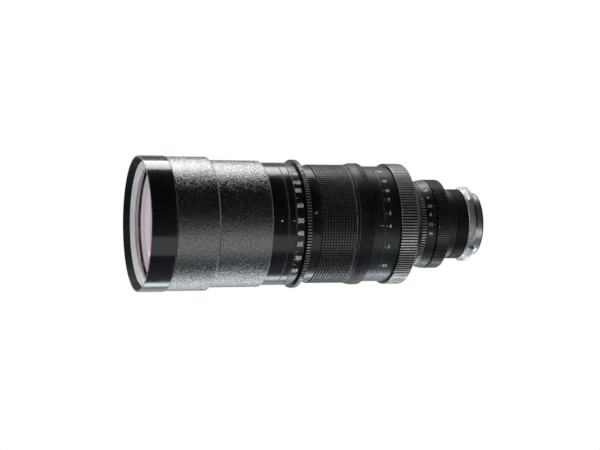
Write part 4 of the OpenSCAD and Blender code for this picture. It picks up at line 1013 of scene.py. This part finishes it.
class LENS_OT_stage(bpy.types.Operator):
    """Sets up the pale floor, the backdrop, the lamps and the camera"""
    bl_idname = "lens.stage"
    bl_label = "Stage"

    def execute(self, context):
        self.floor()
        self.world()
        self.lamps()
        self.camera()
        return {"FINISHED"}

    def floor(self):
        """A pale floor that keeps the shadow and fades to white towards its edge"""
        sides = 96
        rim = [(FLOOR_REACH * math.cos(a), FLOOR_REACH * math.sin(a), 0) for a, _ in even_angles(sides)]
        sheet, tree = stage_sheet("floor", rim, [tuple(range(sides))])
        sheet.location = (CAD_LOW[0] / 2, 0, FLOOR_HEIGHT)
        plain = tree.nodes["Principled BSDF"]
        plain.inputs["Base Color"].default_value = (0.86, 0.86, 0.86, 1)
        plain.inputs["Roughness"].default_value = 0.9
        bright = add_node(tree, "Emission", {})
        places = add_node(tree, "TexCoord", {}).outputs["Object"]
        distance = add_node(tree, "VectorMath", {0: places}, operation="LENGTH").outputs["Value"]
        fade = add_node(tree, "MapRange", {
            "Value": distance, "From Min": 0.25, "From Max": FLOOR_REACH, "To Min": 0.6, "To Max": 1.0})
        out = white_to_the_eye(tree, plain.outputs[0], bright.outputs[0], fade.outputs[0])
        tree.links.new(out, tree.nodes["Material Output"].inputs["Surface"])

    def world(self):
        """A backdrop that is white to the eye and dim as a light, and the screens that the lens mirrors"""
        world = bpy.data.worlds.new("studio")
        bpy.context.scene.world = world
        world.use_nodes = True
        tree = world.node_tree
        plain = tree.nodes["Background"]
        plain.inputs["Color"].default_value = (0.95, 0.97, 1.0, 1)
        plain.inputs["Strength"].default_value = 0.03
        bright = add_node(tree, "Background", {"Color": (1, 1, 1, 1)})
        out = white_to_the_eye(tree, plain.outputs[0], bright.outputs[0], 1.0)
        tree.links.new(out, tree.nodes["World Output"].inputs["Surface"])
        low = FLOOR_HEIGHT + 0.004
        self.screen("front_screen", self.bow((-24, 0.16), (-6, 0.10), (4, 0.05), (30, 0.0), (104, 0.0)), -4.0)
        self.screen("low_screen", [(-0.24, low, 0.10), (0.083, low, 0.30)], -4.0)
        self.screen("back_screen", self.bow((134, 0.35), (215, 0.35)), -0.4)

    def screen(self, name, line, start):
        """A screen along the lens that only reflections show, over a line of (depth, height, grey)"""
        points = [(x, y, z) for y, z, _ in line for x in (start, SCREEN_REACH)]
        faces = [(2 * i, 2 * i + 1, 2 * i + 3, 2 * i + 2) for i in range(len(line) - 1)]
        sheet, tree = stage_sheet(name, points, faces)
        greys = [g for _, _, g in line for _ in range(2)]
        sheet.data.attributes.new("grey", "FLOAT", "POINT").data.foreach_set("value", greys)
        grey = add_node(tree, "Attribute", {}, attribute_name="grey").outputs["Fac"]
        glow = add_node(tree, "Emission", {"Color": (*COOL, 1), "Strength": grey})
        tree.links.new(glow.outputs[0], tree.nodes["Material Output"].inputs["Surface"])
        sheet.visible_camera = False
        sheet.visible_diffuse = False
        sheet.visible_transmission = False
        sheet.visible_shadow = False

    def bow(self, *levels):
        """A line round the lens through (angle above the camera's side, grey) pairs"""
        angles, greys = zip(*levels)
        line = []
        for a in np.linspace(angles[0], angles[-1], 48):
            t = math.radians(a)
            grey = float(np.interp(a, angles, greys))
            line.append((-SCREEN_REACH * math.cos(t), SCREEN_REACH * math.sin(t), grey))
        return line

    def lamps(self):
        middle = ((CAD_LOW + CAD_HIGH) / 2)[:]
        under_x = middle[0] + 0.1
        lamp("top_lamp", (-0.495, 0.53, 1.08), (-0.495, 0, 0), 1.4, 0.58, 24)
        lamp("rear_lamp", (0.905, 0.56, 1.06), (0.905, 0, 0), 1.4, 0.52, 1.4)
        lamp("under_lamp", (under_x, 0.095, -0.225), (under_x, 0, 0), 0.8, 0.05, 0.85, COOL)
        lamp("floor_lamp", (0.1, -0.49, FLOOR_HEIGHT + 0.01), (0.1, -0.49, 0), 1.6, 0.5, 1.3, COOL)
        lamp("front_lamp", (-2.0, -1.2, 0.5), middle, 0.8, 0.8, 12)

    def camera(self):
        """A long camera to the side of the lens, turned a little towards its front"""
        s = sizes()
        camera = bpy.data.cameras.new("camera")
        camera.lens, camera.sensor_width = 111, 36
        camera.clip_end = 100
        holder = bpy.data.objects.new("camera", camera)
        aim, height = -0.15095, -1.07 * MM
        holder.location = (aim - s.camera_distance * math.sin(s.camera_angle),
                           -s.camera_distance * math.cos(s.camera_angle), height)
        holder.rotation_euler = (math.pi / 2, 0, -s.camera_angle)
        bpy.context.scene.collection.objects.link(holder)
        bpy.context.scene.camera = holder
        bpy.context.scene.view_settings.view_transform = "Standard"


class LENS_PT_panel(bpy.types.Panel):
    bl_label = "Cinema zoom lens"
    bl_idname = "LENS_PT_panel"
    bl_space_type = "VIEW_3D"
    bl_region_type = "UI"
    bl_category = "Lens"

    def draw(self, context):
        for group in (context.scene.lens_colours, context.scene.lens_sizes):
            for name in group.__annotations__:
                self.layout.prop(group, name)
        for operator in OPERATORS:
            self.layout.operator(operator.bl_idname)


OPERATORS = (LENS_OT_front, LENS_OT_hood, LENS_OT_front_barrel, LENS_OT_zoom_ring, LENS_OT_ridge,
             LENS_OT_focus_ring, LENS_OT_iris_ring, LENS_OT_rear_tube, LENS_OT_mount, LENS_OT_glass,
             LENS_OT_inside, LENS_OT_stage)
CLASSES = (LensColours, LensSizes) + OPERATORS + (LENS_PT_panel,)


def register():
    for c in CLASSES:
        bpy.utils.register_class(c)
    bpy.types.Scene.lens_colours = bpy.props.PointerProperty(type=LensColours)
    bpy.types.Scene.lens_sizes = bpy.props.PointerProperty(type=LensSizes)


def unregister():
    del bpy.types.Scene.lens_colours
    del bpy.types.Scene.lens_sizes
    for c in reversed(CLASSES):
        bpy.utils.unregister_class(c)


def main():
    register()
    for ob in [o for o in bpy.context.scene.objects if o.name in ("Cube", "Light", "Camera")]:
        bpy.data.objects.remove(ob)
    bpy.ops.lens.front()
    bpy.ops.lens.hood()
    bpy.ops.lens.front_barrel()
    bpy.ops.lens.zoom_ring()
    bpy.ops.lens.ridge()
    bpy.ops.lens.focus_ring()
    bpy.ops.lens.iris_ring()
    bpy.ops.lens.rear_tube()
    bpy.ops.lens.mount()
    bpy.ops.lens.glass()
    bpy.ops.lens.inside()
    bpy.ops.lens.stage()


if __name__ == "__main__":
    main()
